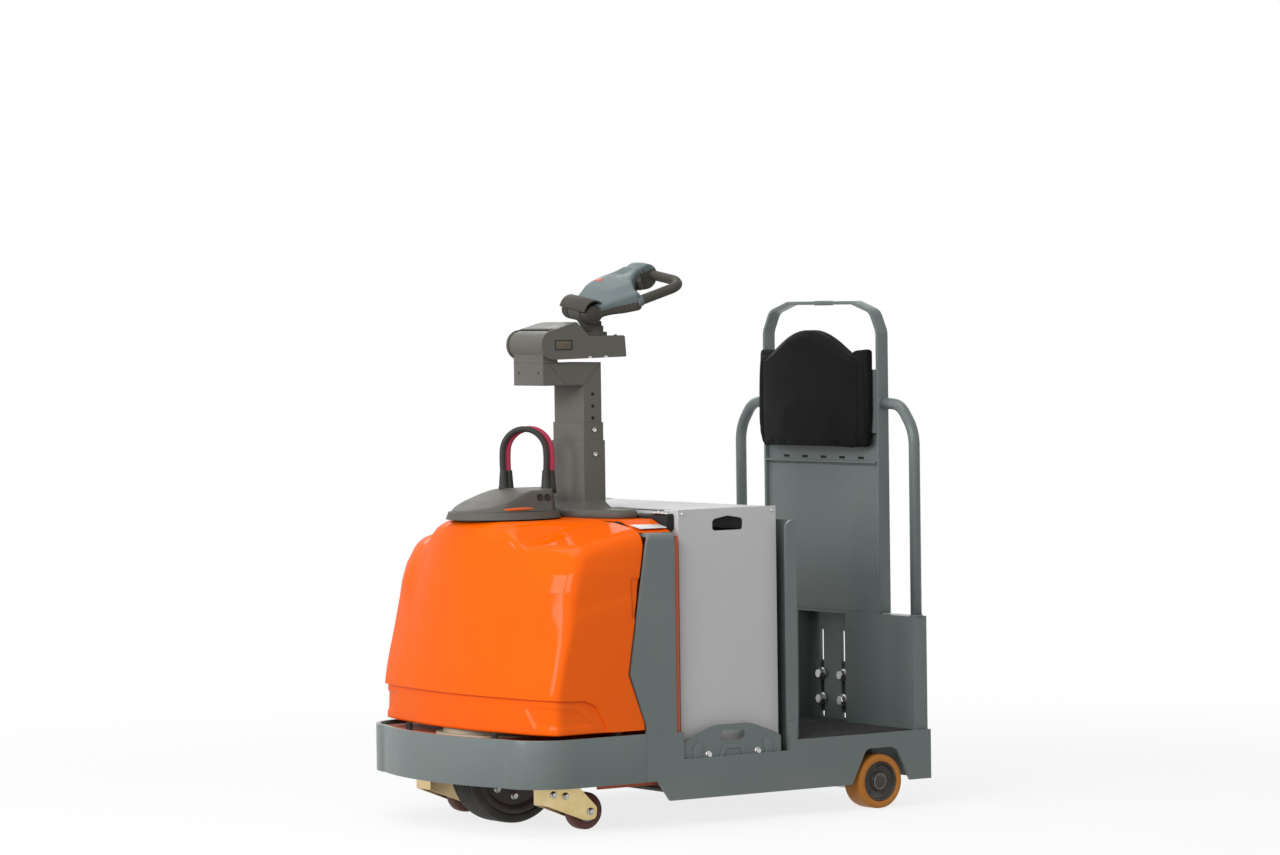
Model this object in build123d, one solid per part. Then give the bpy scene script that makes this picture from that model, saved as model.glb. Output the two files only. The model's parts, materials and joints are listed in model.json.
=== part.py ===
from build123d import *
from math import cos, pi, radians, sin, tan
import os

# Electric tow tractor with a stand-on rear platform, a battery across the frame and a tiller.
# Millimetres. x runs forward from the chassis's rear face, y to the left, z up from the floor.

# Chassis
half_width = 437.0
nose_x = 1400.0
plate = 10.0
skirt_z = 74.0
rail_top = 212.0
rail_front = 877.0
tab_front = 495.0
tab_length = 24.0
tab_top = 262.0
pocket_z = 184.0
pocket_front = 854.0
upstand_top = 258.0
arch_reach_low = 103.0
arch_reach_top = 52.0
arch_top = 171.0
arch_round = 22.0

# Bumper band
bumper_plate = 12.0
bumper_low = 129.0
bumper_high = 260.0
bumper_rear = 976.0
corner_radius = 138.0
nose_bow = 48.0

# Pillars beside the battery
pillar_top = 800.0
pillar_waist_z = 422.0
pillar_waist_x = 1027.0
pillar_neck_x = 968.0
pillar_foot_rise = 20.0
pillar_turn = 30.0
pillar_neck_drop = 22.0
pillar_neck_turn = 18.0
pillar_top_cut = 12.0
pillar_flange = 50.0
pillar_bend = 20.0
foot_front = 900.0
foot_slope = 40.0

# Walls and floors
tray_top = 96.0
bulkhead_front = 867.0
rear_wall_x = 458.0
rear_wall_top = 818.0
flange_reach = 36.0
wall_plate = 8.0
tie_reach = 30.0
tie_height = 40.0
tongue_lap = 6.0
shelf_reach = 73.0
shelf_half = 100.0
platform_top = 205.0
mat_thick = 8.0
mat_edge = 4.0

# Rear box and hitch slots
box_inset = 14.0
box_half = half_width - box_inset
box_front = 48.0
box_top = 530.0
box_plate = 6.0
recess_half = 112.0
slot_y = 50.0
slot_width = 17.0
slot_low = 215.0
slot_high = 473.0

# Front deck, slewing ring and caster heads
deck_top = 248.0
deck_hole = 165.0
skirt_inset = 27.0
skirt_half = half_width - skirt_inset
skirt_front = 1120.0
skirt_low = 118.0
ring_outer = 190.0
ring_thick = 6.0

# Drive unit
drive_x = 1145.0
drive_radius = 152.4
drive_half_width = 55.0
drive_tread = 24.0
turn_gap = 0.3
turn_outer = 172.0
turn_inner = 136.0
turn_thick = 14.0
bell_radius = 150.0
bell_top = 334.0
leg_half = 50.0
leg_inner = 66.0
leg_outer = 116.0
motor_radius = 88.0
motor_top = 610.0
drive_pin = 22.0
bell_plate = 12.0
drive_round = 8.0
rim_inset = 4.0
rim_dish = 14.0
rim_lip = 22.0

# Casters
caster_x = 1160.0
caster_inset = 143.0
caster_y = half_width - caster_inset
caster_trail = 69.0
caster_radius = 51.0
caster_half_width = 20.0
caster_front = 67.0
fork_half = 36.0
fork_plate = 5.0
fork_top = 126.0
fork_low = 73.0
fork_eye = 22.0
spindle_radius = 13.0
head_radius = 26.0
caster_pin = 6.0
caster_round = 6.0
fork_back = 26.0
fork_crown = 20.0
fork_rise = 10.0
fork_turn = 14.0
spindle_gap = 2.0

# Rear wheels
rear_x = 177.0
rear_radius = 76.2
rear_inset = 3.0
rear_face = half_width - rear_inset
rear_width = 75.0
rear_hub_radius = 55.0
rear_recess = 14.0
rear_pin = 17.0
axle_cap = 21.0
axle_tube = 30.0
axle_end_inset = 3.0
axle_shoulder = 6.0
tyre_round = 4.0
hub_rim = 8.0
bracket_half = 40.0
bracket_gap = 13.0
bracket_y = rear_face - rear_width - bracket_gap
bracket_plate = 12.0
bracket_low = 42.0
bracket_cut = 12.0
bracket_foot = 14.0
bracket_round = 10.0

# Battery
battery_rear = 505.0
battery_length = 330.0
battery_inset = 40.0
battery_half = half_width - battery_inset
battery_top = 858.0
case_plate = 6.0
cell_top = 790.0
lid_drop = 6.0
lid_thick = 4.0
lid_front = 288.0
lid_tab = 60.0
grip_length = 105.0
grip_low = 797.0
grip_side = 828.0
grip_peak = 837.0
grip_offset = -1.0
grip_low_round = 9.0
grip_round = 12.0
cell_gap = 2.0
lid_gap = 1.0
gate_rear = 519.0
gate_front = 847.0
gate_low = 150.0
gate_side = 242.0
gate_peak = 269.0
gate_plate = 7.0
gate_ramp = 28.0
gate_shoulder = 14.0
gate_flat = 60.0
hand_length = 84.0
hand_height = 27.0
hand_z = 238.0

# Hood, cowl and covers
hood_skin = 4.0
hood_gap = 5.0
hood_low = 271.0
hood_top = 832.0
hood_low_x = 1330.0
hood_sections = (
    # height, front, bow of the front, inset from the side, corner radius
    (hood_low, hood_low_x, 26.0, 9.0, 100.0),
    (450.0, 1326.0, 28.0, 7.0, 100.0),
    (745.0, 1296.0, 64.0, 15.0, 120.0),
    (800.0, 1290.0, 73.0, 39.0, 250.0),
    (hood_top, 1284.0, 78.0, 127.0, 200.0),
)
cowl_rear = 862.0
buffer_radius = 9.0
buffer_x = 1060.0
buffer_y = 215.0
cover_rear = 856.0
cover_front = 975.0
cover_half = 250.0
cover_thick = 24.0
cover_wing = 70.0
cover_rear_turn = 20.0
cover_turn = 30.0
cover_foot_gap = 20.0
hill_spread = 34.0
hill_top_spread = 6.0
hill_side = 3.0
hill_turn = 5.0
pod_x = 1141.0
pod_long = 165.0
pod_wide = 142.0
pod_rim = 20.0
pod_lift = 4.0
pod_rise = 62.0
crown_x = 1062.0
crown_y = -8.0
crown_long = 78.0
crown_wide = 85.0
pod_shoulder = 14.0

# Cable arches on the steering head cover
cable_radius = 8.0
cable_rise = 160.0
cable_bulge = 3.0
cable_stub = 30.0
black_feet = ((1108.0, -48.0), (1024.0, 36.0))
red_feet = ((1087.0, -52.0), (1003.0, 32.0))

# Column and arm
column_rear = 853.0
column_long = 71.0
column_half = 78.0
column_wall = 5.0
column_top = 1043.0
column_base = 8.0
collar_top = 1093.0
tube_step = 3.0
inner_lap = 90.0
collar_lap = 120.0
head_low = 1197.0
head_top = 1259.0
head_front = 1052.0
head_half = 72.0
pivot_x = 1025.0
pivot_z = 1309.0
barrel_radius = 38.0
barrel_half = 80.0
post_back = 22.0
arm_half = 88.0
arm_plate = 5.0
arm_side_gap = 2.0
arm_round = 41.0
arm_low_rear = 1273.0
arm_rear = 783.0
arm_top = 1332.0
arm_step_x = 908.0
arm_peak_x = 948.0
arm_peak_z = 1371.0
arm_pin = 12.0
arm_end_lean = 5.0
arm_turn = 6.0
lid_run_on = 6.0
lid_step = 4.0
lid_end = 12.0

# Handle
swivel_x = 828.0
swivel_radius = 34.0
swivel_thick = 10.0
neck_radius = 24.0
web_half = 16.0
web_front = 20.0
web_front_drop = 10.0
web_peak = 14.0
web_rear = 26.0
web_rear_drop = 28.0
neck_drop = 12.0
hub_x = 870.0
hub_z = 1402.0
hub_radius = 31.0
hub_half = 58.0
hub_middle = 26.0
hub_pin = 8.0
handle_pitch = 18.0
handle_cant = 10.0
shell_low = -20.0
shell_high = 30.0
tube_radius = 14.0
loop_near = 95.0
loop_start = 124.0
loop_corner_u = 268.0
loop_corner_v = 56.0
loop_offset = 18.0
drum_u = 272.0
drum_radius = 38.0
drum_near = 45.0
drum_far = 118.0
hub_play = 0.5
hub_room = 4.0
thumb_radius = 14.0
thumb_width = 12.0
thumb_rise = 16.0
head_arms = (
    # run along the handle, offset to its left, corner radius
    (loop_start, loop_near + tube_radius + 1, 16.0),
    (loop_start, loop_near - tube_radius - 1, 10.0),
    (178.0, 10.0, 40.0),
    (drum_u - drum_radius - 12, -drum_near, 16.0),
    (drum_u, -drum_near, 0.0),
    (drum_u, -drum_far, 0.0),
    (120.0, 8 - drum_far, 60.0),
)
loop_turn = 44.0
loop_spread = 9.0

# Rider's backrest
frame_rear = 7.0
frame_depth = 38.0
frame_bar = 10.0
frame_top = 1418.0
frame_top_half = 152.0
frame_side_z = 1392.0
frame_shoulder = 32.0
frame_drop = 60.0
frame_side_turn = 50.0
frame_turn = 24.0
frame_top_turn = 40.0
frame_slant = 0.7
frame_inset = 165.0
frame_half = half_width - frame_inset
panel_x = 30.0
panel_plate = 5.0
panel_top = 962.0
panel_lip = 20.0
pad_back = 52.0
pad_front = 105.0
pad_lap = 6.0
pad_sheet = 8.0
pad_sheet_low = 40.0
pad_sheet_high = 220.0
pad_inset = 44.0
pad_half = frame_half - pad_inset
pad_low = 1003.0
pad_side = 1262.0
pad_crown = 1337.0
pad_flat = 140.0
pad_bulge = 8.0
pad_taper = 4.0
pad_round = 14.0
wing_rise = 6.0
wing_thick = 12.0
wing_inset = 14.0
wing_half = frame_half - wing_inset
wing_top = 1272.0
rail_tube = 16.0
rail_x = 26.0
rail_inset = 27.0
rail_y = half_width - rail_inset
rail_bend_z = 1010.0
rail_start_z = 1128.0
rail_bend_run = 60.0
rail_bend_rise = 40.0
rail_droop = 4.0
rail_turns = (40.0, 90.0)

# Hitch
hitch_plate = 12.0
hitch_half = 80.0
hitch_low = 232.0
hitch_high = 380.0
bolt_low = 269.0
bolt_high = 342.0
bolt_radius = 8.0
bolt_clear = 0.3
jaw_reach = 84.0
jaw_half = 33.0
jaw_plate = 14.0
jaw_low = 262.0
jaw_high = 346.0
coupling_pin = 12.5
pin_clear = 0.05
pin_below = 16.0
pin_above = 30.0
pin_head = 22.0
pin_collar = 8.0
pin_inset = 34.0
jaw_turn = 26.0
bolt_head = 14.0
bolt_head_thick = 10.0
bolt_end = 22.0
washer_radius = 18.0
washer_thick = 3.0
nut_thick = 13.0

# Shared fits
running = 0.05
seat = 0.3
side_play = 1.0

hitch_reach = hitch_plate + jaw_reach
origin_x = (nose_x - hitch_reach) / 2


def save(node, shape):
    """Write one node with the origin under the middle of the whole vehicle."""
    moved = Pos(-origin_x, 0, 0) * shape
    export_step(moved, f"parts/{node}.step")


def box(x, y, z):
    """Block between three (low, high) pairs."""
    size = [high - low for low, high in (x, y, z)]
    return Pos(x[0], y[0], z[0]) * Box(*size, align=(Align.MIN,) * 3)


def both(shape):
    """A left-hand piece with its mirror image on the right."""
    return shape + mirror(shape, about=Plane.XZ)


def face_of(corners):
    """Closed outline from (u, v, corner radius) rows."""
    points = [(u, v) for u, v, _ in corners]
    radii = [radius for _, _, radius in corners]
    return make_face(FilletPolyline(*points, radius=radii, close=True))


def side_plate(corners, inner, outer):
    """Plate upright along x, from (x, z, radius) rows, between two values of y."""
    plane = Plane(origin=(0, outer, 0), x_dir=(1, 0, 0), z_dir=(0, -1, 0))
    return extrude(plane * face_of(corners), outer - inner)


def cross_plate(corners, rear, front):
    """Plate upright along y, from (y, z, radius) rows, between two values of x."""
    plane = Plane(origin=(rear, 0, 0), x_dir=(0, 1, 0), z_dir=(1, 0, 0))
    return extrude(plane * face_of(corners), front - rear)


def flat_plate(corners, low, high):
    """Plate lying flat, from (x, y, radius) rows, between two heights."""
    return extrude(Plane.XY.offset(low) * face_of(corners), high - low)


def rod(start, end, radius):
    """Round bar between two points."""
    run = Vector(*end) - Vector(*start)
    plane = Plane(origin=start, z_dir=run.normalized())
    return extrude(plane * Circle(radius), run.length)


def side_rails():
    rows = [
        (0, skirt_z, 0),
        (0, rail_top, 0),
        (tab_front - tab_length, rail_top, 0),
        (tab_front - tab_length, tab_top, 5),
        (tab_front, tab_top, 5),
        (tab_front, pocket_z, 0),
        (pocket_front, pocket_z, 0),
        (pocket_front, upstand_top, 0),
        (rail_front, upstand_top, 0),
        (rail_front, skirt_z, 0),
        (rear_x + arch_reach_low, skirt_z, 0),
        (rear_x + arch_reach_top, arch_top, arch_round),
        (rear_x - arch_reach_top, arch_top, arch_round),
        (rear_x - arch_reach_low, skirt_z, 0),
    ]
    return both(side_plate(rows, half_width - plate, half_width))


def pillar_rows(gap):
    """Front outline of a pillar, pushed forward by gap for the hood's edge."""
    return [
        (bumper_rear + gap, bumper_high + pillar_foot_rise, pillar_turn),
        (pillar_waist_x + gap, pillar_waist_z, pillar_turn),
        (pillar_neck_x + gap, pillar_top - pillar_neck_drop, pillar_neck_turn),
    ]


def front_pillars():
    rows = [
        (rail_front, skirt_z, 0),
        (foot_front, skirt_z, 0),
        (foot_front + foot_slope, bumper_low, 0),
        (bumper_rear, bumper_low, 0),
        *pillar_rows(0),
        (pillar_neck_x - pillar_top_cut, pillar_top, 0),
        (rail_front, pillar_top, 0),
    ]
    profile = [
        (half_width, skirt_z, 0),
        (half_width, pillar_top, pillar_bend),
        (half_width - pillar_flange, pillar_top, 0),
        (half_width - pillar_flange, pillar_top - plate, 0),
        (half_width - plate, pillar_top - plate, pillar_bend - plate),
        (half_width - plate, skirt_z, 0),
    ]
    bent = cross_plate(profile, rail_front, pillar_waist_x)
    return both(bent & side_plate(rows, half_width - pillar_flange - 1, half_width + 1))


def bumper_plan(inset, rear):
    """Plan of the bumper's outer face, moved in by inset and open to the rear at x = rear."""
    side = half_width - inset
    front = nose_x - inset
    radius = corner_radius - inset
    corner_x = front - nose_bow
    centre = (corner_x - radius, side - radius)
    middle = (centre[0] + radius * cos(radians(45)), centre[1] + radius * sin(radians(45)))
    left = ThreePointArc((centre[0], side), middle, (corner_x, centre[1]))
    right = ThreePointArc((corner_x, -centre[1]), (middle[0], -middle[1]), (centre[0], -side))
    bow = ThreePointArc(left @ 1, (front, 0), right @ 0)
    back = Polyline(right @ 1, (rear, -side), (rear, side), left @ 0)
    return make_face(Curve() + [left, bow, right, back])


def front_bumper():
    outer = extrude(Plane.XY.offset(bumper_low) * bumper_plan(0, bumper_rear), bumper_high - bumper_low)
    inner = extrude(
        Plane.XY.offset(bumper_low - 1) * bumper_plan(bumper_plate, bumper_rear - 1),
        bumper_high - bumper_low + 2,
    )
    return outer - inner


def battery_tray():
    inside = half_width - plate
    floor = box(
        (rear_wall_x, bulkhead_front - wall_plate),
        (-inside, inside),
        (tray_top - wall_plate, tray_top),
    )
    return floor


def front_bulkhead():
    inside = half_width - plate
    shelf_z = pillar_top - plate
    wall = box((bulkhead_front - wall_plate, bulkhead_front), (-inside, inside), (skirt_low, shelf_z))
    tie = box(
        (bulkhead_front, bulkhead_front + tie_reach),
        (-inside, inside),
        (deck_top - plate - tie_height, deck_top - plate),
    )
    tongue = box(
        (bulkhead_front, rail_front + tongue_lap),
        (inside - wall_plate, inside),
        (deck_top, pillar_top - pillar_bend),
    )
    shelf = box(
        (bulkhead_front, bulkhead_front + shelf_reach),
        (-shelf_half, shelf_half),
        (shelf_z - wall_plate, shelf_z),
    )
    gusset_rows = [
        (bulkhead_front, shelf_z - wall_plate, 0),
        (bulkhead_front + shelf_reach, shelf_z - wall_plate, 0),
        (bulkhead_front, shelf_z - wall_plate - shelf_reach, 0),
    ]
    gusset = side_plate(gusset_rows, shelf_half - wall_plate, shelf_half)
    return wall + tie + both(tongue + gusset) + shelf


def rear_bulkhead():
    inside = half_width - plate
    wall = box((rear_wall_x, rear_wall_x + wall_plate), (-inside, inside), (tray_top, rear_wall_top))
    side = box(
        (rear_wall_x, rear_wall_x + flange_reach),
        (inside - wall_plate, inside),
        (tray_top, rear_wall_top),
    )
    channel = wall + both(side)
    corners = channel.edges().filter_by(Axis.Y).filter_by_position(
        Axis.X, rear_wall_x + flange_reach - 1, rear_wall_x + flange_reach + 1
    )
    top = corners.filter_by_position(Axis.Z, rear_wall_top - 1, rear_wall_top + 1)
    return fillet(top, 24)


def platform_floor():
    inside = half_width - plate
    return box((plate, rear_wall_x), (-inside, inside), (platform_top - plate, platform_top))


def platform_mat():
    main = box(
        (box_front + mat_edge, rear_wall_x - mat_edge),
        (-box_half, box_half),
        (platform_top, platform_top + mat_thick),
    )
    tongue = box(
        (plate + mat_edge, box_front + mat_edge),
        (mat_edge - recess_half, recess_half - mat_edge),
        (platform_top, platform_top + mat_thick),
    )
    return main + tongue


def rear_plate():
    inside = half_width - plate
    wall = box((0, plate), (-inside, inside), (skirt_z, rail_top))
    wall += box((0, plate), (-box_half, box_half), (rail_top, box_top))
    slot = box((-1, plate + 1), (slot_y - slot_width / 2, slot_y + slot_width / 2), (slot_low, slot_high))
    slot = fillet(slot.edges().filter_by(Axis.X), slot_width / 2 - 0.5)
    return wall - both(slot)


def rear_box():
    side = box((plate, box_front), (box_half - box_plate, box_half), (platform_top, box_top - box_plate))
    front = box(
        (box_front - box_plate, box_front),
        (recess_half, box_half),
        (platform_top, box_top - box_plate),
    )
    cheek = box(
        (plate, box_front),
        (recess_half, recess_half + box_plate),
        (platform_top, box_top - box_plate),
    )
    shelf = box((plate, box_front), (-box_half, box_half), (box_top - box_plate, box_top))
    return both(side + front + cheek) + shelf


def front_deck():
    sheet = extrude(Plane.XY.offset(deck_top - plate) * bumper_plan(bumper_plate, bulkhead_front), plate)
    hole = rod((drive_x, 0, deck_top - plate - 1), (drive_x, 0, deck_top + 1), deck_hole)
    skirt = box(
        (bulkhead_front + tie_reach, skirt_front),
        (skirt_half - wall_plate, skirt_half),
        (skirt_low, deck_top - plate),
    )
    return sheet - hole + both(skirt)


def slew_ring():
    low = (drive_x, 0, deck_top)
    high = (drive_x, 0, deck_top + ring_thick)
    return rod(low, high, ring_outer) - rod(low, high, deck_hole)


def caster_heads():
    low = fork_top + seat
    boss = rod((caster_x, caster_y, low), (caster_x, caster_y, deck_top - plate), head_radius)
    bore = rod((caster_x, caster_y, low - 1), (caster_x, caster_y, deck_top), spindle_radius + running)
    return both(boss - bore)


def rear_axle():
    end_y = rear_face - axle_end_inset
    cap_in = rear_face - rear_recess + side_play
    beam = rod((rear_x, -bracket_y, rear_radius), (rear_x, bracket_y, rear_radius), axle_tube)
    pin = rod((rear_x, -end_y, rear_radius), (rear_x, end_y, rear_radius), rear_pin)
    shoulder = rod(
        (rear_x, bracket_y, rear_radius),
        (rear_x, rear_face - rear_width - side_play, rear_radius),
        rear_pin + axle_shoulder,
    )
    cap = rod((rear_x, cap_in, rear_radius), (rear_x, end_y, rear_radius), axle_cap)
    return beam + pin + both(shoulder + cap)


def axle_brackets():
    rows = [
        (rear_x - bracket_half, bracket_low + bracket_cut, bracket_round),
        (rear_x - bracket_half, platform_top - plate, 0),
        (rear_x + bracket_half, platform_top - plate, 0),
        (rear_x + bracket_half, bracket_low + bracket_cut, bracket_round),
        (rear_x + bracket_foot, bracket_low, bracket_round),
        (rear_x - bracket_foot, bracket_low, bracket_round),
    ]
    hanger = side_plate(rows, bracket_y - bracket_plate, bracket_y)
    bore = rod((rear_x, 0, rear_radius), (rear_x, half_width, rear_radius), axle_tube)
    return both(hanger - bore)


def rear_tyre(side):
    inner = rear_face - rear_width
    ring = rod((rear_x, inner, rear_radius), (rear_x, rear_face, rear_radius), rear_radius)
    bore_start = (rear_x, inner - 1, rear_radius)
    bore_end = (rear_x, rear_face + 1, rear_radius)
    ring -= rod(bore_start, bore_end, rear_hub_radius + running)
    edges = ring.edges().filter_by(GeomType.CIRCLE).group_by(SortBy.RADIUS)[-1]
    ring = fillet(edges, tyre_round)
    return ring if side > 0 else mirror(ring, about=Plane.XZ)


def rear_hub(side):
    inner = rear_face - rear_width
    hub = rod((rear_x, inner, rear_radius), (rear_x, rear_face, rear_radius), rear_hub_radius)
    dish = rod(
        (rear_x, rear_face - rear_recess, rear_radius),
        (rear_x, rear_face + 1, rear_radius),
        rear_hub_radius - hub_rim,
    )
    bore = rod((rear_x, inner - 1, rear_radius), (rear_x, rear_face + 1, rear_radius), rear_pin + running)
    hub = hub - dish - bore
    return hub if side > 0 else mirror(hub, about=Plane.XZ)


def drive_unit():
    turn_low = deck_top + ring_thick + turn_gap
    low = (drive_x, 0, turn_low)
    ring = rod(low, (drive_x, 0, turn_low + turn_thick), turn_outer)
    bell = rod(low, (drive_x, 0, bell_top), bell_radius)
    hollow = rod((drive_x, 0, turn_low - 1), (drive_x, 0, bell_top - bell_plate), turn_inner)
    leg = box(
        (drive_x - leg_half, drive_x + leg_half),
        (-leg_outer, -leg_inner),
        (drive_radius, bell_top - bell_plate),
    )
    foot = rod((drive_x, -leg_outer, drive_radius), (drive_x, -leg_inner, drive_radius), leg_half)
    pin_end = (drive_x, drive_half_width - rim_dish, drive_radius)
    pin = rod((drive_x, -leg_inner, drive_radius), pin_end, drive_pin)
    motor = rod((drive_x, 0, bell_top), (drive_x, 0, motor_top), motor_radius)
    return ring + bell - hollow + leg + foot + pin + motor


def wheel_ring(centre, half, outer, inner, round_edge):
    """Ring along y, its two outer edges rounded."""
    x, y, z = centre
    bore = rod((x, y - half - 1, z), (x, y + half + 1, z), inner)
    ring = rod((x, y - half, z), (x, y + half, z), outer) - bore
    edges = ring.edges().filter_by(GeomType.CIRCLE).group_by(SortBy.RADIUS)[-1]
    return fillet(edges, round_edge)


def drive_tyre():
    return wheel_ring(
        (drive_x, 0, drive_radius),
        drive_half_width,
        drive_radius,
        drive_radius - drive_tread + running,
        drive_round,
    )


def drive_rim():
    centre = (drive_x, 0, drive_radius)
    rim = rod(
        (drive_x, -drive_half_width + rim_inset, drive_radius),
        (drive_x, drive_half_width - rim_inset, drive_radius),
        drive_radius - drive_tread,
    )
    dish = rod(
        (drive_x, drive_half_width - rim_dish, drive_radius),
        (drive_x, drive_half_width, drive_radius),
        drive_radius - drive_tread - rim_lip,
    )
    bore_start = (drive_x, -drive_half_width, drive_radius)
    bore_end = (drive_x, drive_half_width, drive_radius)
    bore = rod(bore_start, bore_end, drive_pin + running)
    return rim - dish - bore


def caster_fork(side):
    y = side * caster_y
    axle_x = caster_x - caster_trail
    front = caster_x + caster_front
    rows = [
        (front, fork_low, 6),
        (front, fork_top, 0),
        (caster_x - fork_back, fork_top, 8),
        (axle_x - fork_eye, caster_radius + fork_rise, fork_turn),
        (axle_x - fork_eye + 4, caster_radius - fork_eye, fork_turn),
        (axle_x + fork_eye, caster_radius - fork_eye, fork_rise),
    ]
    cheek = side_plate(rows, y + fork_half - fork_plate, y + fork_half)
    other = Pos(0, fork_plate - 2 * fork_half, 0) * cheek
    top = box(
        (caster_x - fork_crown, front),
        (y - fork_half, y + fork_half),
        (fork_top - fork_plate, fork_top),
    )
    nose = box((front - fork_plate, front), (y - fork_half, y + fork_half), (fork_low, fork_top))
    spindle_top = deck_top - plate - spindle_gap
    spindle = rod((caster_x, y, fork_top - fork_plate), (caster_x, y, spindle_top), spindle_radius)
    pin_half = fork_half + caster_pin
    pin = rod((axle_x, y - pin_half, caster_radius), (axle_x, y + pin_half, caster_radius), caster_pin)
    return cheek + other + top + nose + spindle + pin


def caster_wheel(side):
    centre = (caster_x - caster_trail, side * caster_y, caster_radius)
    return wheel_ring(centre, caster_half_width, caster_radius, caster_pin + running, caster_round)


def battery_case():
    rear, front = battery_rear, battery_rear + battery_length
    body = box((rear, front), (-battery_half, battery_half), (tray_top, battery_top))
    room = box(
        (rear + case_plate, front - case_plate),
        (case_plate - battery_half, battery_half - case_plate),
        (tray_top + case_plate, battery_top + 1),
    )
    centre = (rear + front) / 2 + grip_offset
    reach = grip_length / 2
    grip_rows = [
        (centre - reach, grip_low, grip_low_round),
        (centre - reach, grip_side, grip_round),
        (centre, grip_peak, grip_round),
        (centre + reach, grip_side, grip_round),
        (centre + reach, grip_low, grip_low_round),
    ]
    grip = side_plate(grip_rows, -battery_half - 1, battery_half + 1)
    inside = battery_half - case_plate
    notch = box((rear - 1, front + 1), (-inside, inside), (battery_top - lid_drop, battery_top + 1))
    return body - room - grip - notch


def battery_cells():
    rear, front = battery_rear, battery_rear + battery_length
    inset = case_plate + cell_gap
    return box(
        (rear + inset, front - inset),
        (inset - battery_half, battery_half - inset),
        (tray_top + case_plate, cell_top),
    )


def battery_lid():
    rear = battery_rear
    side = battery_half - case_plate - lid_gap
    low = battery_top - lid_drop
    sheet = box((rear, rear + lid_front), (-side, side), (low, low + lid_thick))
    tab = box((rear + lid_front, rear + battery_length), (side - lid_tab, side), (low, low + lid_thick))
    middle = box((rear + lid_front, rear + battery_length), (-lid_tab, lid_tab), (low, low + lid_thick))
    return sheet + both(tab) + middle


def battery_gates():
    inside = half_width - plate
    middle = (gate_rear + gate_front) / 2
    rows = [
        (gate_rear, gate_low, 0),
        (gate_rear, gate_side - gate_shoulder, 8),
        (gate_rear + gate_ramp, gate_side, 20),
        (middle - gate_flat, gate_peak, 120),
        (middle + gate_flat, gate_peak, 120),
        (gate_front - gate_ramp, gate_side, 20),
        (gate_front, gate_side - gate_shoulder, 8),
        (gate_front, gate_low, 0),
    ]
    sheet = side_plate(rows, inside - gate_plate, inside)
    reach = hand_length / 2
    rise = hand_height / 2
    corner = rise - 1
    hand_rows = [
        (middle - reach, hand_z - rise, corner),
        (middle - reach, hand_z + rise, corner),
        (middle + reach, hand_z + rise, corner),
        (middle + reach, hand_z - rise, corner),
    ]
    return both(sheet - side_plate(hand_rows, inside - gate_plate - 1, inside + 1))


def hood_section(row, inset):
    """Plan of the hood at one row's height, moved in by inset."""
    height, front, bow, side_inset, corner = row
    front -= inset
    half = half_width - side_inset - inset
    corner_x = front - bow
    centre = (corner_x - corner, half - corner)
    middle = (centre[0] + corner * cos(radians(45)), centre[1] + corner * sin(radians(45)))
    left = ThreePointArc((centre[0], half), middle, (corner_x, centre[1]))
    right = ThreePointArc((corner_x, -centre[1]), (middle[0], -middle[1]), (centre[0], -half))
    nose = ThreePointArc(left @ 1, (front, 0), right @ 0)
    back = Polyline(right @ 1, (cowl_rear, -half), (cowl_rear, half), left @ 0)
    return Plane.XY.offset(height) * make_face(Curve() + [left, nose, right, back])


def hood_solid(inset):
    """Hood and cowl as one block, lofted through the table's sections."""
    plans = [hood_section(row, inset) for row in hood_sections]
    body = [loft([low, high], ruled=True) for low, high in zip(plans, plans[1:])]
    return body[0].fuse(*body[1:])


def hood_and_cowl():
    """Shell split into the hood and the fixed cowl behind it."""
    shell = hood_solid(0) - Pos(0, 0, -hood_skin) * hood_solid(hood_skin)
    far = 2 * half_width
    split_rows = [
        (nose_x, hood_low - 10, 0),
        (nose_x, hood_top + 10, 0),
        (pillar_neck_x + 2, hood_top + 10, 0),
        *reversed(pillar_rows(hood_gap)),
        (bumper_rear + hood_gap, hood_low - 10, 0),
    ]
    region = side_plate(split_rows, -far, far)
    hood = shell & region
    behind = box((cowl_rear, pillar_neck_x - 6), (-far, far), (pillar_top + seat, hood_top + 1))
    cowl = (shell & behind) - foot_hole(pillar_top, hood_top + 1)
    return hood, cowl


def hood_buffers():
    """Rubber stops on the deck under the hood's lower edge."""
    front_x = hood_low_x - buffer_radius
    side_y = half_width - bumper_plate - buffer_radius
    stops = [
        rod((x, y, deck_top), (x, y, hood_low - seat), buffer_radius)
        for x, y in ((front_x, buffer_y), (buffer_x, side_y))
    ]
    return both(stops[0] + stops[1])


def column_foot():
    low = hood_top + seat
    waist = column_half + cover_foot_gap
    rows = [
        (cover_rear, cover_half, cover_rear_turn),
        (cover_rear, -cover_half, cover_rear_turn),
        (cover_rear + cover_wing, -cover_half, cover_turn),
        (cover_front, -waist, cover_turn),
        (cover_front, waist, cover_turn),
        (cover_rear + cover_wing, cover_half, cover_turn),
    ]
    wing = flat_plate(rows, low, low + cover_thick)
    hill_low = Pos(0, 0, low + cover_thick) * foot_section(hill_spread)
    hill_high = Pos(0, 0, low + 2 * cover_thick) * foot_section(hill_top_spread)
    hill = loft([hill_low, hill_high])
    hole = foot_hole(low - 1, low + 3 * cover_thick)
    return wing + hill - hole


def foot_section(spread):
    """Plan of the cover's hill: it spreads to the front and the sides, and hardly to the rear."""
    rear = column_rear - hill_side
    front = column_rear + column_long + spread
    plan = RectangleRounded(front - rear, 2 * (column_half + spread), hill_turn)
    return Pos((rear + front) / 2, 0) * plan


def foot_hole(low, high):
    return box(
        (column_rear - seat, column_rear + column_long + seat),
        (-column_half - seat, column_half + seat),
        (low, high),
    )


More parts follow.
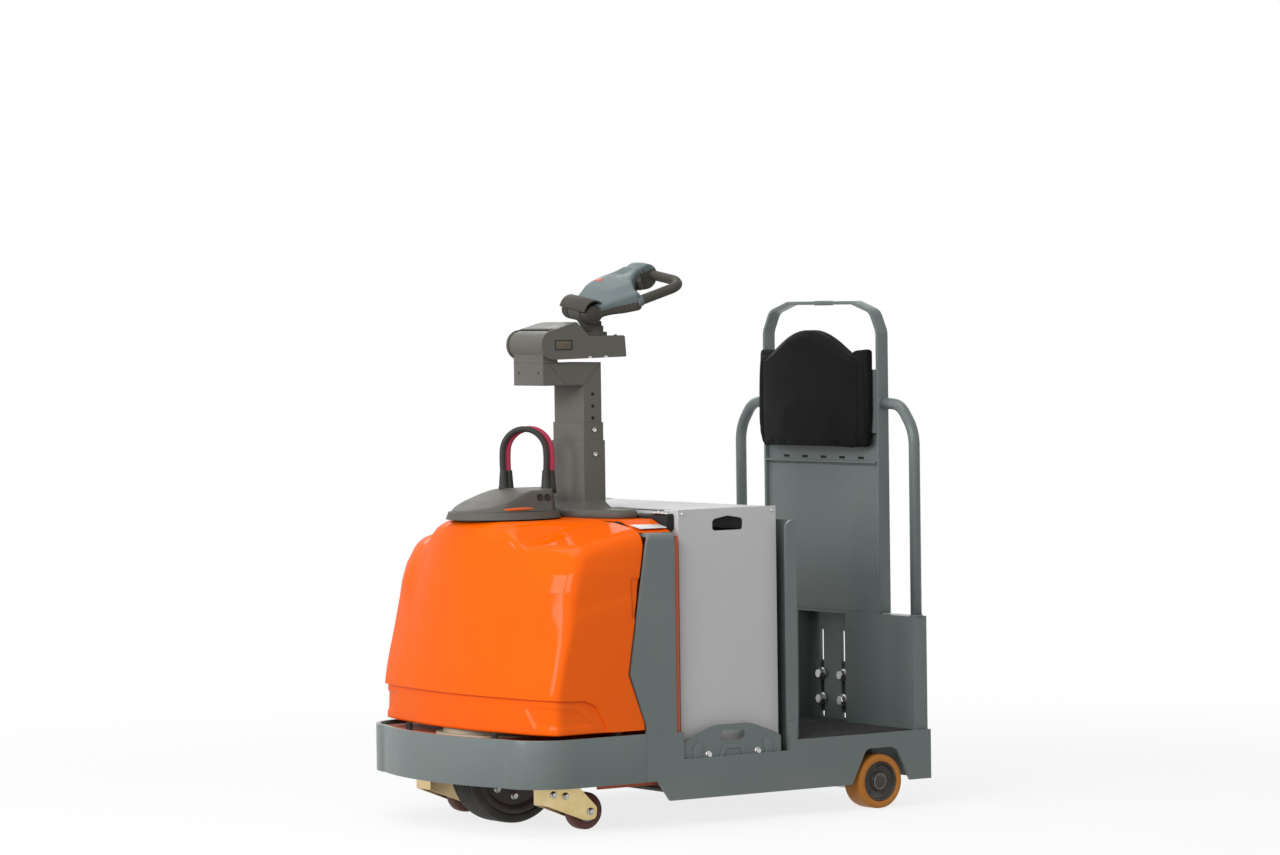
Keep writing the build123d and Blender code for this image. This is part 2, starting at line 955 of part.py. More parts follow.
def pod_tray():
    low = hood_top + pod_lift
    wide = Pos(pod_x, 0, low) * Ellipse(pod_long, pod_wide)
    inset = pod_shoulder / 2
    narrow = Pos(pod_x, 0, low + pod_rim) * Ellipse(pod_long - inset, pod_wide - inset)
    foot = Pos(pod_x, 0, hood_top) * Ellipse(pod_long - 2 * pod_shoulder, pod_wide - 2 * pod_shoulder)
    return loft([wide, narrow]) + extrude(foot, pod_lift)


def pod_dome():
    low = hood_top + pod_lift + pod_rim
    base = Pos(pod_x, 0, low) * Ellipse(pod_long - pod_shoulder, pod_wide - pod_shoulder)
    crown = Pos(crown_x, crown_y, low + pod_rise) * Ellipse(crown_long, crown_wide)
    return loft([base, crown])


def tube_box(low, high, inset):
    rear, front = column_rear + inset, column_rear + column_long - inset
    half = column_half - inset
    outer = box((rear, front), (-half, half), (low, high))
    wall = tube_step
    inner = box((rear + wall, front - wall), (wall - half, half - wall), (low - 1, high + 1))
    return outer - inner


def column_outer():
    base = box(
        (column_rear, column_rear + column_long),
        (-column_half, column_half),
        (pillar_top - plate, pillar_top - plate + column_base),
    )
    return tube_box(pillar_top - plate, column_top, 0) + base


def column_collar():
    return tube_box(column_top - collar_lap, collar_top, tube_step)


def inner_rows(inset):
    step = 2 * tube_step + inset
    rear = column_rear + step
    front = column_rear + column_long - step
    low = column_top - inner_lap
    return [
        (rear, low, 0),
        (rear, head_top - inset, 0),
        (head_front - inset, head_top - inset, 0),
        (head_front - inset, head_low + inset, 0),
        (front, head_low + inset, 0),
        (front, low, 0),
    ]


def column_inner():
    outer = side_plate(inner_rows(0), -head_half, head_half)
    inside = head_half - column_wall
    return outer - side_plate(inner_rows(column_wall), -inside, inside)


def arm_bracket():
    post = box((pivot_x - post_back, head_front), (-head_half, head_half), (head_top, pivot_z))
    barrel = rod((pivot_x, -barrel_half, pivot_z), (pivot_x, barrel_half, pivot_z), barrel_radius)
    bore = rod((pivot_x, -arm_half, pivot_z), (pivot_x, arm_half, pivot_z), arm_pin + running)
    return post + barrel - bore


def steer_arm():
    end_x = arm_rear + arm_end_lean
    run_on_x = pivot_x + lid_run_on
    run_on_z = pivot_z + arm_round - 1
    rows = [
        (pivot_x, pivot_z - arm_round, 0),
        (arm_rear, arm_low_rear, 4),
        (end_x, arm_top, arm_turn),
        (arm_step_x, arm_top, arm_turn),
        (arm_peak_x, arm_peak_z, arm_turn),
        (run_on_x, run_on_z, 0),
    ]
    inner = barrel_half + arm_side_gap
    plate_half = side_plate(rows, inner, arm_half)
    disc = rod((pivot_x, inner, pivot_z), (pivot_x, arm_half, pivot_z), arm_round)
    pin = rod((pivot_x, -arm_half, pivot_z), (pivot_x, arm_half, pivot_z), arm_pin)
    sides = both(plate_half + disc)
    top = box((end_x, arm_step_x), (-inner, inner), (arm_top - arm_plate, arm_top))
    end = box((end_x, end_x + arm_plate), (-inner, inner), (arm_low_rear + 2, arm_top))
    slope = (run_on_z - arm_peak_z) / (run_on_x - arm_peak_x)
    lid_x = pivot_x - lid_end
    lid_z = arm_peak_z + slope * (lid_x - arm_peak_x)
    lid_rows = [
        (arm_step_x, arm_top, 0),
        (arm_peak_x, arm_peak_z, 0),
        (lid_x, lid_z, 0),
        (lid_x, lid_z - arm_plate, 0),
        (arm_peak_x, arm_peak_z - arm_plate, 0),
        (arm_step_x - lid_step, arm_top - arm_plate, 0),
    ]
    lid = side_plate(lid_rows, -inner, inner)
    return sides + pin + top + end + lid


def handle_plane():
    """Frame of the handle: x along it to the rear, y across it, z out of its top."""
    pitch = radians(handle_pitch)
    along = Vector(-cos(pitch), 0, sin(pitch))
    up = Vector(sin(pitch), 0, cos(pitch))
    tilt = radians(handle_cant)
    left = Vector(0, 1, 0)
    across = left * cos(tilt) - up * sin(tilt)
    normal = up * cos(tilt) + left * sin(tilt)
    return Plane(origin=(hub_x, 0, hub_z), x_dir=along, z_dir=normal)


def handle_rod(start, end, radius):
    """Round bar in the handle's own frame."""
    plane = handle_plane()
    return rod(tuple(plane.from_local_coords(start)), tuple(plane.from_local_coords(end)), radius)


def handle_yoke():
    top = arm_top + seat
    disc = rod((swivel_x, 0, top), (swivel_x, 0, top + swivel_thick), swivel_radius)
    neck = rod((swivel_x, 0, top), (swivel_x, 0, hub_z - hub_radius - neck_drop), neck_radius)
    rows = [
        (swivel_x - neck_radius / 2, top + swivel_thick, 0),
        (swivel_x + neck_radius, top + swivel_thick, 0),
        (hub_x + web_front, hub_z - web_front_drop, 0),
        (hub_x - web_peak, hub_z, 0),
        (hub_x - web_rear, hub_z - web_rear_drop, 0),
        (swivel_x - neck_radius / 2, hub_z - web_rear_drop - 2, 0),
    ]
    web = side_plate(rows, -web_half, web_half)
    sleeve = handle_rod((0, -hub_middle, 0), (0, hub_middle, 0), hub_radius - 1)
    bore = handle_rod((0, -hub_half, 0), (0, hub_half, 0), hub_pin + running)
    return disc + neck + web + sleeve - bore


def handle_head():
    plane = handle_plane()
    rows = [(0, hub_half, 0), *head_arms, (0, -hub_half, 0)]
    face = make_face(
        FilletPolyline(*[(u, -v) for u, v, _ in rows], radius=[radius for _, _, radius in rows], close=True)
    )
    shell = extrude(plane.offset(shell_low) * face, shell_high - shell_low)
    drum = handle_rod((drum_u, drum_near, 0), (drum_u, drum_far, 0), drum_radius)
    knuckle_in = hub_middle + hub_play
    knuckles = handle_rod((0, -hub_half, 0), (0, hub_half, 0), hub_radius)
    room = handle_rod((0, -knuckle_in, 0), (0, knuckle_in, 0), hub_radius + hub_room)
    pin = handle_rod((0, -hub_half, 0), (0, hub_half, 0), hub_pin)
    return shell + drum + knuckles - room + pin


def grip_loop():
    plane = handle_plane()
    corners = [
        (loop_start, loop_near),
        (loop_corner_u, loop_near + loop_spread),
        (drum_u + loop_offset, loop_corner_v),
        (drum_u + loop_offset, -drum_near),
    ]
    points = [plane.from_local_coords((u, -v, 0)) for u, v in corners]
    path = FilletPolyline(*points, radius=[loop_turn, loop_turn])
    section = Plane(origin=path @ 0, z_dir=path % 0) * Circle(tube_radius)
    return sweep(section, path=path)


def thumb_control():
    u = drum_u - drum_radius / 2
    return handle_rod((u, drum_near - thumb_width, thumb_rise), (u, drum_near, thumb_rise), thumb_radius)


def backrest_rows(inset):
    """Outline of the backrest's bent bar, moved in by inset."""
    half = frame_half - inset
    shoulder = frame_half - frame_shoulder - inset * frame_slant
    turn_z = frame_side_z - frame_drop
    left = [
        (half, box_top, 0),
        (half, turn_z, frame_side_turn - inset),
        (shoulder, frame_side_z - inset, frame_turn - inset * frame_slant),
        (frame_top_half, frame_top - inset, frame_top_turn - inset),
    ]
    return left + [(-y, z, turn) for y, z, turn in reversed(left)]


def backrest_frame():
    outer = cross_plate(backrest_rows(0), frame_rear, frame_rear + frame_depth)
    inner = cross_plate(backrest_rows(frame_bar), frame_rear - 1, frame_rear + frame_depth + 1)
    return outer - inner


def backrest_panel():
    inside = frame_half - frame_bar
    sheet = box((panel_x, panel_x + panel_plate), (-inside, inside), (box_top, panel_top))
    lip = box((panel_x, panel_x + panel_lip), (-inside, inside), (panel_top - panel_plate, panel_top))
    return sheet + lip


def backrest_pad():
    crown = pad_crown - pad_bulge
    left = [
        (pad_half - pad_taper, pad_low, 24),
        (pad_half, pad_side, 40),
        (pad_flat, crown, 70),
    ]
    front_rows = left + [(-y, z, turn) for y, z, turn in reversed(left)]
    wing_left = [
        (wing_half, pad_low + wing_rise, 20),
        (wing_half, wing_top, 30),
    ]
    wing_rows = wing_left + [(-y, z, turn) for y, z, turn in reversed(wing_left)]
    front = cross_plate(front_rows, pad_back, pad_front)
    rounded = fillet(front.faces().sort_by(Axis.X)[-1].edges(), pad_round)
    wing = cross_plate(wing_rows, pad_back - pad_lap, pad_back + wing_thick)
    return rounded + wing


def pad_plate():
    inside = frame_half - frame_bar
    return box(
        (pad_back - pad_lap - pad_sheet, pad_back - pad_lap),
        (-inside, inside),
        (pad_low + pad_sheet_low, pad_low + pad_sheet_high),
    )


def handrails():
    path = FilletPolyline(
        (rail_x, frame_half, rail_start_z),
        (rail_x, rail_y - rail_bend_run, rail_start_z - rail_droop),
        (rail_x, rail_y, rail_bend_z + rail_bend_rise),
        (rail_x, rail_y, box_top),
        radius=rail_turns,
    )
    section = Plane(origin=path @ 1, z_dir=path % 1) * Circle(rail_tube)
    tube = sweep(section, path=path)
    across = (frame_half, rail_y + 2 * rail_tube)
    keep = box((rail_x - 2 * rail_tube, rail_x + 2 * rail_tube), across, (box_top, frame_top))
    return both(tube & keep)


def hitch_body():
    sheet = box((-hitch_plate, 0), (-hitch_half, hitch_half), (hitch_low, hitch_high))
    jaw = box((-hitch_reach, -hitch_plate), (-jaw_half, jaw_half), (0, jaw_plate))
    jaw = fillet(jaw.edges().filter_by(Axis.Z).group_by(Axis.X)[0], jaw_turn)
    low = Pos(0, 0, jaw_low) * jaw
    high = Pos(0, 0, jaw_high - jaw_plate) * jaw
    pin_x = pin_inset - hitch_reach
    bore = rod((pin_x, 0, 0), (pin_x, 0, frame_top), coupling_pin + pin_clear)
    body = sheet + low + high - bore
    for y, z in bolt_places():
        body -= rod((-hitch_plate - 1, y, z), (1, y, z), bolt_radius + bolt_clear)
    return body


def bolt_places():
    return [(y, z) for y in (-slot_y, slot_y) for z in (bolt_low, bolt_high)]


def hitch_bolts():
    bolts = []
    upright = Rotation(0, 90, 0)
    for y, z in bolt_places():
        shank = rod((-hitch_plate, y, z), (plate + bolt_end, y, z), bolt_radius)
        head_place = Pos(-hitch_plate - bolt_head_thick, y, z) * upright
        head = head_place * extrude(RegularPolygon(bolt_head, 6), bolt_head_thick)
        washer = rod((plate, y, z), (plate + washer_thick, y, z), washer_radius)
        nut_place = Pos(plate + washer_thick, y, z) * upright
        nut = nut_place * extrude(RegularPolygon(bolt_head, 6), nut_thick)
        bolts.append(shank + head + washer + nut)
    return bolts[0] + bolts[1] + bolts[2] + bolts[3]


def hitch_pin():
    pin_x = pin_inset - hitch_reach
    shank = rod((pin_x, 0, jaw_low - pin_below), (pin_x, 0, jaw_high + pin_above), coupling_pin)
    collar = rod((pin_x, 0, jaw_high + seat), (pin_x, 0, jaw_high + pin_collar), pin_head)
    return shank + collar


def cable_route(far_foot, near_foot):
    """Route of a cable arch on the steering head cover, between two (x, y) feet."""
    foot = hood_top + pod_lift + pod_rim + pod_rise
    far = Vector(*far_foot, foot)
    span = Vector(*near_foot, foot) - far
    half = span.length / 2
    along = span.normalized()
    bend = half * tan(radians(22.5))
    spring = foot + cable_rise - half
    rows = [
        (0, foot),
        (0, foot + cable_stub),
        (-cable_bulge, foot + 2.5 * cable_stub),
        (0, spring + bend),
        (half - bend, foot + cable_rise),
        (half + bend, foot + cable_rise),
        (2 * half, spring + bend),
        (2 * half + cable_bulge, foot + 2.5 * cable_stub),
        (2 * half, foot + cable_stub),
        (2 * half, foot),
    ]
    return [(far.X + along.X * run, far.Y + along.Y * run, height) for run, height in rows]


def arc_radii(points):
    """Largest radius at each corner: 0.45 of the shorter run over the tangent of half the turn."""
    radii = []
    for before, corner, after in zip(points, points[1:], points[2:]):
        first = Vector(*corner) - Vector(*before)
        second = Vector(*after) - Vector(*corner)
        turn = radians(first.get_angle(second))
        radii.append(0.45 * min(first.length, second.length) / tan(turn / 2))
    return radii


def cable(name, far_foot, near_foot):
    points = cable_route(far_foot, near_foot)
    radii = arc_radii(points)
    print(name, "cord radii", [round(radius) for radius in radii])
    path = FilletPolyline(*points, radius=radii)
    section = Plane(origin=path @ 0, z_dir=path % 0) * Circle(cable_radius)
    tube = sweep(section, path=path)
    share = tube.volume / (pi * cable_radius**2 * path.length)
    print(name, "volume over section times length", round(share, 4))
    return tube


def build():
    os.makedirs("parts", exist_ok=True)
    hood, cowl = hood_and_cowl()
    pieces = {
        "side_rails": side_rails(),
        "front_pillars": front_pillars(),
        "front_bumper": front_bumper(),
        "battery_tray": battery_tray(),
        "front_bulkhead": front_bulkhead(),
        "rear_bulkhead": rear_bulkhead(),
        "platform_floor": platform_floor(),
        "platform_mat": platform_mat(),
        "rear_plate": rear_plate(),
        "rear_box": rear_box(),
        "front_deck": front_deck(),
        "slew_ring": slew_ring(),
        "caster_heads": caster_heads(),
        "rear_axle": rear_axle(),
        "axle_brackets": axle_brackets(),
        "hood": hood,
        "cowl": cowl,
        "column_foot": column_foot(),
        "pod_tray": pod_tray(),
        "pod_dome": pod_dome(),
        "cable_black": cable("cable_black", *black_feet),
        "cable_red": cable("cable_red", *red_feet),
        "hood_buffers": hood_buffers(),
        "battery_case": battery_case(),
        "battery_cells": battery_cells(),
        "battery_lid": battery_lid(),
        "battery_gates": battery_gates(),
        "column_outer": column_outer(),
        "column_collar": column_collar(),
        "column_inner": column_inner(),
        "arm_bracket": arm_bracket(),
        "backrest_frame": backrest_frame(),
        "backrest_panel": backrest_panel(),
        "backrest_pad": backrest_pad(),
        "pad_plate": pad_plate(),
        "handrails": handrails(),
        "hitch_body": hitch_body(),
        "hitch_bolts": hitch_bolts(),
        "hitch_pin": hitch_pin(),
        "steer_arm": steer_arm(),
        "handle_yoke": handle_yoke(),
        "handle_head": handle_head(),
        "grip_loop": grip_loop(),
        "thumb_control": thumb_control(),
        "drive_unit": drive_unit(),
        "drive_tyre": drive_tyre(),
        "drive_rim": drive_rim(),
        "caster_fork_left": caster_fork(1),
        "caster_fork_right": caster_fork(-1),
        "caster_wheel_left": caster_wheel(1),
        "caster_wheel_right": caster_wheel(-1),
        "rear_tyre_left": rear_tyre(1),
        "rear_tyre_right": rear_tyre(-1),
        "rear_hub_left": rear_hub(1),
        "rear_hub_right": rear_hub(-1),
    }
    for node, shape in pieces.items():
        save(node, shape)


build()
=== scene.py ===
import json
import math

import bmesh
import bpy
import numpy as np
from mathutils import Matrix, Vector


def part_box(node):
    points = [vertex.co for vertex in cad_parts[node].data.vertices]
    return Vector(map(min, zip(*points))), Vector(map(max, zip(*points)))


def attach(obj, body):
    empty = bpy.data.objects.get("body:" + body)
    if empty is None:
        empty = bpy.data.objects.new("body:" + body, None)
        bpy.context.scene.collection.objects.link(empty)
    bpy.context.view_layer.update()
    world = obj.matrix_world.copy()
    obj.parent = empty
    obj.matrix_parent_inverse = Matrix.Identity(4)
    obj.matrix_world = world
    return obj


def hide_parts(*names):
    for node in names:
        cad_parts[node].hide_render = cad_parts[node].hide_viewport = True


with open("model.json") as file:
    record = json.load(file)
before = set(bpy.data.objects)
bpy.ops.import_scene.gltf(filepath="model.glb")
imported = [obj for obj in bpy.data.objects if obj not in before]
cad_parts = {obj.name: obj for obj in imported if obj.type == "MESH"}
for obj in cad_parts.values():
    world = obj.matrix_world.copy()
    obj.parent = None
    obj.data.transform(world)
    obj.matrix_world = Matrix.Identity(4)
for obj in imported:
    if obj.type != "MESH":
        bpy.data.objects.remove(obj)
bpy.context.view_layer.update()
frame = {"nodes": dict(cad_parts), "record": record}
nodes = frame["nodes"]
mm = 0.001
originX = -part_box("rear_plate")[0].x / mm  # the sizes below count x from the chassis's rear face


def at(x, y, z):
    return Vector((x * mm - originX * mm, y * mm, z * mm))


# Camera and studio

photoView = {
    "spot": (8298.5, 10826.9, 1434.8),
    "heading": -2.18406,
    "lookDown": 0.0274,
    "roll": -0.013465,
    "focalPixels": 4728.3,
    "pictureWidth": 1280,
}
studio = {
    "floorSize": 9.0,
    "floorFade": (1.9, 3.9),
    "floorColour": (0.86, 0.86, 0.86),
    "floorClear": 0.80,
    "world": 0.42,  # what lights the model
    "glow": 1.0,  # what the camera and mirrors see
    "lamps": (
        # place, aim, width, height, watts
        ((4.6, 3.4, 3.4), (0.5, 0.2, 0.7), 3.0, 2.2, 165),
        ((6.2, 0.2, 2.6), (0.5, 0.0, 0.6), 2.4, 2.4, 150),
        ((-4.6, 4.2, 3.0), (-0.2, 0.0, 0.7), 2.4, 2.4, 14),
        ((1.4, -0.4, 6.0), (0.3, 0.0, 0.0), 3.6, 3.0, 95),
        ((-2.0, -5.5, 3.6), (0.2, 0.0, 0.6), 3.6, 3.0, 70),
    ),
}


def setCamera():
    v = photoView
    ahead = Vector((
        math.cos(v["lookDown"]) * math.cos(v["heading"]),
        math.cos(v["lookDown"]) * math.sin(v["heading"]),
        -math.sin(v["lookDown"]),
    ))
    level = ahead.cross(Vector((0, 0, 1))).normalized()
    steep = level.cross(ahead)
    right = math.cos(v["roll"]) * level + math.sin(v["roll"]) * steep
    up = right.cross(ahead)
    data = bpy.data.cameras.new("photoCamera")
    data.sensor_width = 36.0
    data.lens = v["focalPixels"] / v["pictureWidth"] * data.sensor_width
    data.clip_end = 200
    camera = bpy.data.objects.new("photoCamera", data)
    turn = Matrix((right, up, -ahead)).transposed().to_4x4()
    camera.matrix_world = Matrix.Translation(at(*v["spot"])) @ turn
    bpy.context.scene.collection.objects.link(camera)
    bpy.context.scene.camera = camera


def setStudio():
    scene = bpy.context.scene
    scene.view_settings.view_transform = "Standard"
    world = bpy.data.worlds.new("softRoom")
    scene.world = world
    world.use_nodes = True
    tree = world.node_tree
    tree.nodes.clear()
    new, join = tree.nodes.new, tree.links.new
    path = new("ShaderNodeLightPath")
    seen = path.outputs["Is Camera Ray"]
    for kind in ("Is Glossy Ray", "Is Transmission Ray"):
        either = new("ShaderNodeMath")
        either.operation = "MAXIMUM"
        join(seen, either.inputs[0])
        join(path.outputs[kind], either.inputs[1])
        seen = either.outputs[0]
    mix, out = new("ShaderNodeMixShader"), new("ShaderNodeOutputWorld")
    join(seen, mix.inputs[0])
    for index, strength in ((1, studio["world"]), (2, studio["glow"])):
        room = new("ShaderNodeBackground")
        room.inputs["Color"].default_value = (1, 1, 1, 1)
        room.inputs["Strength"].default_value = strength
        join(room.outputs[0], mix.inputs[index])
    join(mix.outputs[0], out.inputs[0])
    for place, aim, width, height, watts in studio["lamps"]:
        data = bpy.data.lights.new("softbox", "AREA")
        data.shape = "RECTANGLE"
        data.size = width
        data.size_y = height
        data.energy = watts
        lamp = bpy.data.objects.new("softbox", data)
        lamp.location = place
        lamp.rotation_euler = (Vector(aim) - Vector(place)).to_track_quat("-Z", "Y").to_euler()
        scene.collection.objects.link(lamp)


# Shader maths


class Wire:
    # one socket of a material, with the arithmetic that Math nodes do
    def __init__(self, finish, socket):
        self.finish = finish
        self.socket = socket

    def math(self, operation, *values, clamp=False):
        settings = {"operation": operation, "use_clamp": clamp}
        return self.finish.node("ShaderNodeMath", settings, dict(enumerate((self, *values))))

    def __add__(self, other):
        return self.math("ADD", other)

    def __sub__(self, other):
        return self.math("SUBTRACT", other)

    def __rsub__(self, other):
        return (self * -1) + other

    def __mul__(self, other):
        return self.math("MULTIPLY", other)

    def __truediv__(self, other):
        return self.math("DIVIDE", other)

    def __pow__(self, other):
        return self.math("POWER", other)

    def clamp(self):
        return self.math("ADD", 0.0, clamp=True)


class Finish:
    # a Principled material; constants go on the shader's own sockets
    def __init__(self, name, colour, roughness, **constants):
        self.material = bpy.data.materials.new(name)
        self.material.use_nodes = True
        self.tree = self.material.node_tree
        self.shader = self.tree.nodes["Principled BSDF"]
        self.shader.inputs["Base Color"].default_value = (*colour, 1.0)
        self.shader.inputs["Roughness"].default_value = roughness
        self.material.diffuse_color = (*colour, 1.0)
        for socket, value in constants.items():
            self.shader.inputs[socket.replace("_", " ")].default_value = value
        self.coords = self.node("ShaderNodeTexCoord", out="Object")

    def feed(self, socket, value):
        if isinstance(value, Wire):
            self.tree.links.new(value.socket, socket)
        elif isinstance(value, tuple) and len(value) == 3 and len(socket.default_value) == 4:
            socket.default_value = (*value, 1.0)
        else:
            socket.default_value = value

    def node(self, kind, settings=None, values=None, out=0):
        made = self.tree.nodes.new(kind)
        for key, setting in (settings or {}).items():
            if key == "stops":
                ramp = made.color_ramp
                while len(ramp.elements) < len(setting):
                    ramp.elements.new(1.0)
                for element, (position, level) in zip(ramp.elements, setting):
                    element.position = position
                    element.color = (level, level, level, 1.0)
            else:
                setattr(made, key, setting)
        for key, value in (values or {}).items():
            self.feed(made.inputs[key], value)
        return Wire(self, made.outputs[out])

    def put(self, socket, value):
        self.feed(self.shader.inputs[socket], value)

    def noise(self, scale, detail=2.0, roughness=0.5, coords=None):
        values = {"Vector": coords or self.coords, "Scale": scale, "Detail": detail, "Roughness": roughness}
        return self.node("ShaderNodeTexNoise", None, values)

    def cells(self, scale):
        return self.node("ShaderNodeTexVoronoi", None, {"Vector": self.coords, "Scale": scale}, "Distance")

    def ramp(self, value, *stops):
        return self.node("ShaderNodeValToRGB", {"stops": stops}, {"Fac": value})

    def stretch(self, scale):
        return self.node("ShaderNodeMapping", None, {"Vector": self.coords, "Scale": scale})

    def split(self):
        made = self.node("ShaderNodeSeparateXYZ", None, {0: self.coords})
        return [Wire(self, socket) for socket in made.socket.node.outputs]

    def tint(self, factor, first, second):
        made = self.tree.nodes.new("ShaderNodeMix")
        made.data_type = "RGBA"
        self.feed(made.inputs["Factor"], factor)
        self.feed(made.inputs[6], first)
        self.feed(made.inputs[7], second)
        return Wire(self, made.outputs[2])

    def bump(self, height, strength, distance=0.001, normal=None):
        values = {"Height": height, "Strength": strength, "Distance": distance}
        if normal:
            values["Normal"] = normal
        return self.node("ShaderNodeBump", None, values)

    def worn(self, radius, strength):
        # rounded edges, and a mask that is 1 on them
        soft = self.node("ShaderNodeBevel", {"samples": 6}, {"Radius": radius})
        plain = self.node("ShaderNodeNewGeometry", out="Normal")
        match = self.node("ShaderNodeVectorMath", {"operation": "DOT_PRODUCT"}, {0: soft, 1: plain}, "Value")
        return soft, ((1.0 - match) * strength).clamp()


def layFloor():
    size = studio["floorSize"]
    near, far = studio["floorFade"]
    made = bmesh.new()
    bmesh.ops.create_grid(made, x_segments=1, y_segments=1, size=size)
    mesh = bpy.data.meshes.new("studioFloor")
    made.to_mesh(mesh)
    made.free()
    floor = bpy.data.objects.new("studioFloor", mesh)
    bpy.context.scene.collection.objects.link(floor)
    finish = Finish("studioFloor", studio["floorColour"], 0.9, Specular_IOR_Level=0.0)
    x, y, _ = finish.split()
    reach = (x * x + y * y) ** 0.5
    fade = ((reach - near) / (far - near)).clamp()
    clear = finish.node("ShaderNodeBsdfTransparent")
    shader = Wire(finish, finish.shader.outputs[0])
    share = (fade * (1 - studio["floorClear"]) + studio["floorClear"]).clamp()
    mixed = finish.node("ShaderNodeMixShader", None, {0: share, 1: shader, 2: clear})
    finish.tree.links.new(mixed.socket, finish.tree.nodes["Material Output"].inputs["Surface"])
    mesh.materials.append(finish.material)


# Meshes


def settle(name, mesh, finish, body="chassis", node=None):
    # links a mesh whose vertices are in place, puts it under its body, and hides the part it stands for
    made = bpy.data.objects.new(name, mesh)
    bpy.context.scene.collection.objects.link(made)
    if not mesh.materials:
        mesh.materials.append(finishes[finish].material)
    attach(made, body)
    if node:
        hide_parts(node)
    return made


def meshOf(name, points, faces, smooth=True, weld=0.0):
    # a mesh from points in millimetres, with its normals turned outward
    made = bmesh.new()
    verts = [made.verts.new(at(*p)) for p in points]
    for face in faces:
        corners = [verts[i] for i in face]
        if len(set(corners)) == len(corners):
            made.faces.new(corners)
    if weld:
        bmesh.ops.remove_doubles(made, verts=made.verts, dist=weld * mm)
    bmesh.ops.recalc_face_normals(made, faces=made.faces)
    for face in made.faces:
        face.smooth = smooth
    mesh = bpy.data.meshes.new(name)
    made.to_mesh(mesh)
    made.free()
    return mesh


def gridFaces(rows, columns, closed=False, start=0):
    faces = []
    for i in range(rows - 1):
        for j in range(columns if closed else columns - 1):
            k = (j + 1) % columns
            a, b = start + i * columns, start + (i + 1) * columns
            faces.append((a + j, a + k, b + k, b + j))
    return faces


def spunPoints(profile, centre, axis, steps):
    # a closed profile of (along, radius) rows turned about an axis through centre
    axis = Vector(axis).normalized()
    side = axis.orthogonal().normalized()
    other = axis.cross(side)
    points = []
    for along, radius in profile:
        for j in range(steps):
            turn = 2 * math.pi * j / steps
            points.append(Vector(centre) + axis * along + radius * (math.cos(turn) * side + math.sin(turn) * other))
    return points


def spun(name, profile, centre, axis, steps=64, smooth=True):
    # the profile starts and ends on the axis, or its ends meet
    points = spunPoints(profile, centre, axis, steps)
    rows = len(profile)
    faces = gridFaces(rows, steps, closed=True)
    if profile[0][1] > 1e-6 and profile[0] != profile[-1]:
        faces += [tuple((rows - 1) * steps + j for j in range(steps)), tuple(range(steps))]
    return meshOf(name, points, faces, smooth, weld=0.01)


def roundCorners(rows, steps=6):
    # an outline from (u, v, radius) rows, each corner an arc
    outline = []
    for k, (u, v, radius) in enumerate(rows):
        here = Vector((u, v))
        before = Vector(rows[k - 1][:2]) - here
        after = Vector(rows[(k + 1) % len(rows)][:2]) - here
        if radius < 0.01:
            outline.append(tuple(here))
            continue
        first, second = before.normalized(), after.normalized()
        half = first.angle(second) / 2
        reach = min(radius / math.tan(half), 0.49 * before.length, 0.49 * after.length)
        real = reach * math.tan(half)
        middle = here + (first + second).normalized() * (real / math.sin(half))
        start, end = here + first * reach - middle, here + second * reach - middle
        turn = start.angle_signed(end)
        for j in range(steps + 1):
            spoke = start.copy()
            spoke.rotate(Matrix.Rotation(-turn * j / steps, 2))
            outline.append(tuple(middle + spoke))
    return outline


def slab(name, outline, place, bevel=0.0, inner=(), segments=2):
    # a plate from an outline, where place(u, v, level) gives the point for level 0 and 1; inner holes too
    made = bmesh.new()
    edges = []
    for loop in (outline, *inner):
        verts = [made.verts.new(at(*place(u, v, 0))) for u, v in loop]
        edges += [made.edges.new((verts[i - 1], verts[i])) for i in range(len(verts))]
    bmesh.ops.triangle_fill(made, use_beauty=True, use_dissolve=True, edges=edges)
    faces = list(made.faces)
    u, v = outline[0]
    shift = at(*place(u, v, 1)) - at(*place(u, v, 0))
    grown = bmesh.ops.extrude_face_region(made, geom=faces, use_keep_orig=True)
    top = [item for item in grown["geom"] if isinstance(item, bmesh.types.BMVert)]
    bmesh.ops.translate(made, vec=shift, verts=top)
    bmesh.ops.recalc_face_normals(made, faces=made.faces)
    if bevel:
        sharp = [edge for edge in made.edges if edge.is_manifold and edge.calc_face_angle() > 0.7]
        bmesh.ops.bevel(
            made, geom=sharp, offset=bevel * mm, segments=segments, profile=0.5, affect="EDGES", clamp_overlap=True
        )
    for face in made.faces:
        face.smooth = True
    mesh = bpy.data.meshes.new(name)
    made.to_mesh(mesh)
    made.free()
    mesh.set_sharp_from_angle(angle=0.6)
    return mesh


def merged(name, meshes):
    # one mesh from several, which are then gone
    made = bmesh.new()
    for mesh in meshes:
        made.from_mesh(mesh)
        bpy.data.meshes.remove(mesh)
    mesh = bpy.data.meshes.new(name)
    made.to_mesh(mesh)
    made.free()
    return mesh


def tubeAlong(name, path, radius, steps=16, smooth=True):
    # a bar along a list of points; radius may be one number or one for each point
    path = [Vector(p) for p in path]
    radii = radius if isinstance(radius, (list, tuple)) else [radius] * len(path)
    ahead = (path[1] - path[0]).normalized()
    side = ahead.orthogonal().normalized()
    points = []
    for k, here in enumerate(path):
        run = path[min(k + 1, len(path) - 1)] - path[max(k - 1, 0)]
        new = run.normalized()
        side = (ahead.rotation_difference(new) @ side).normalized()
        ahead = new
        other = ahead.cross(side)
        for j in range(steps):
            turn = 2 * math.pi * j / steps
            points.append(here + radii[k] * (math.cos(turn) * side + math.sin(turn) * other))
    count = len(path)
    faces = gridFaces(count, steps, closed=True)
    faces += [tuple(range(steps)), tuple((count - 1) * steps + j for j in range(steps))]
    return meshOf(name, points, faces, smooth)


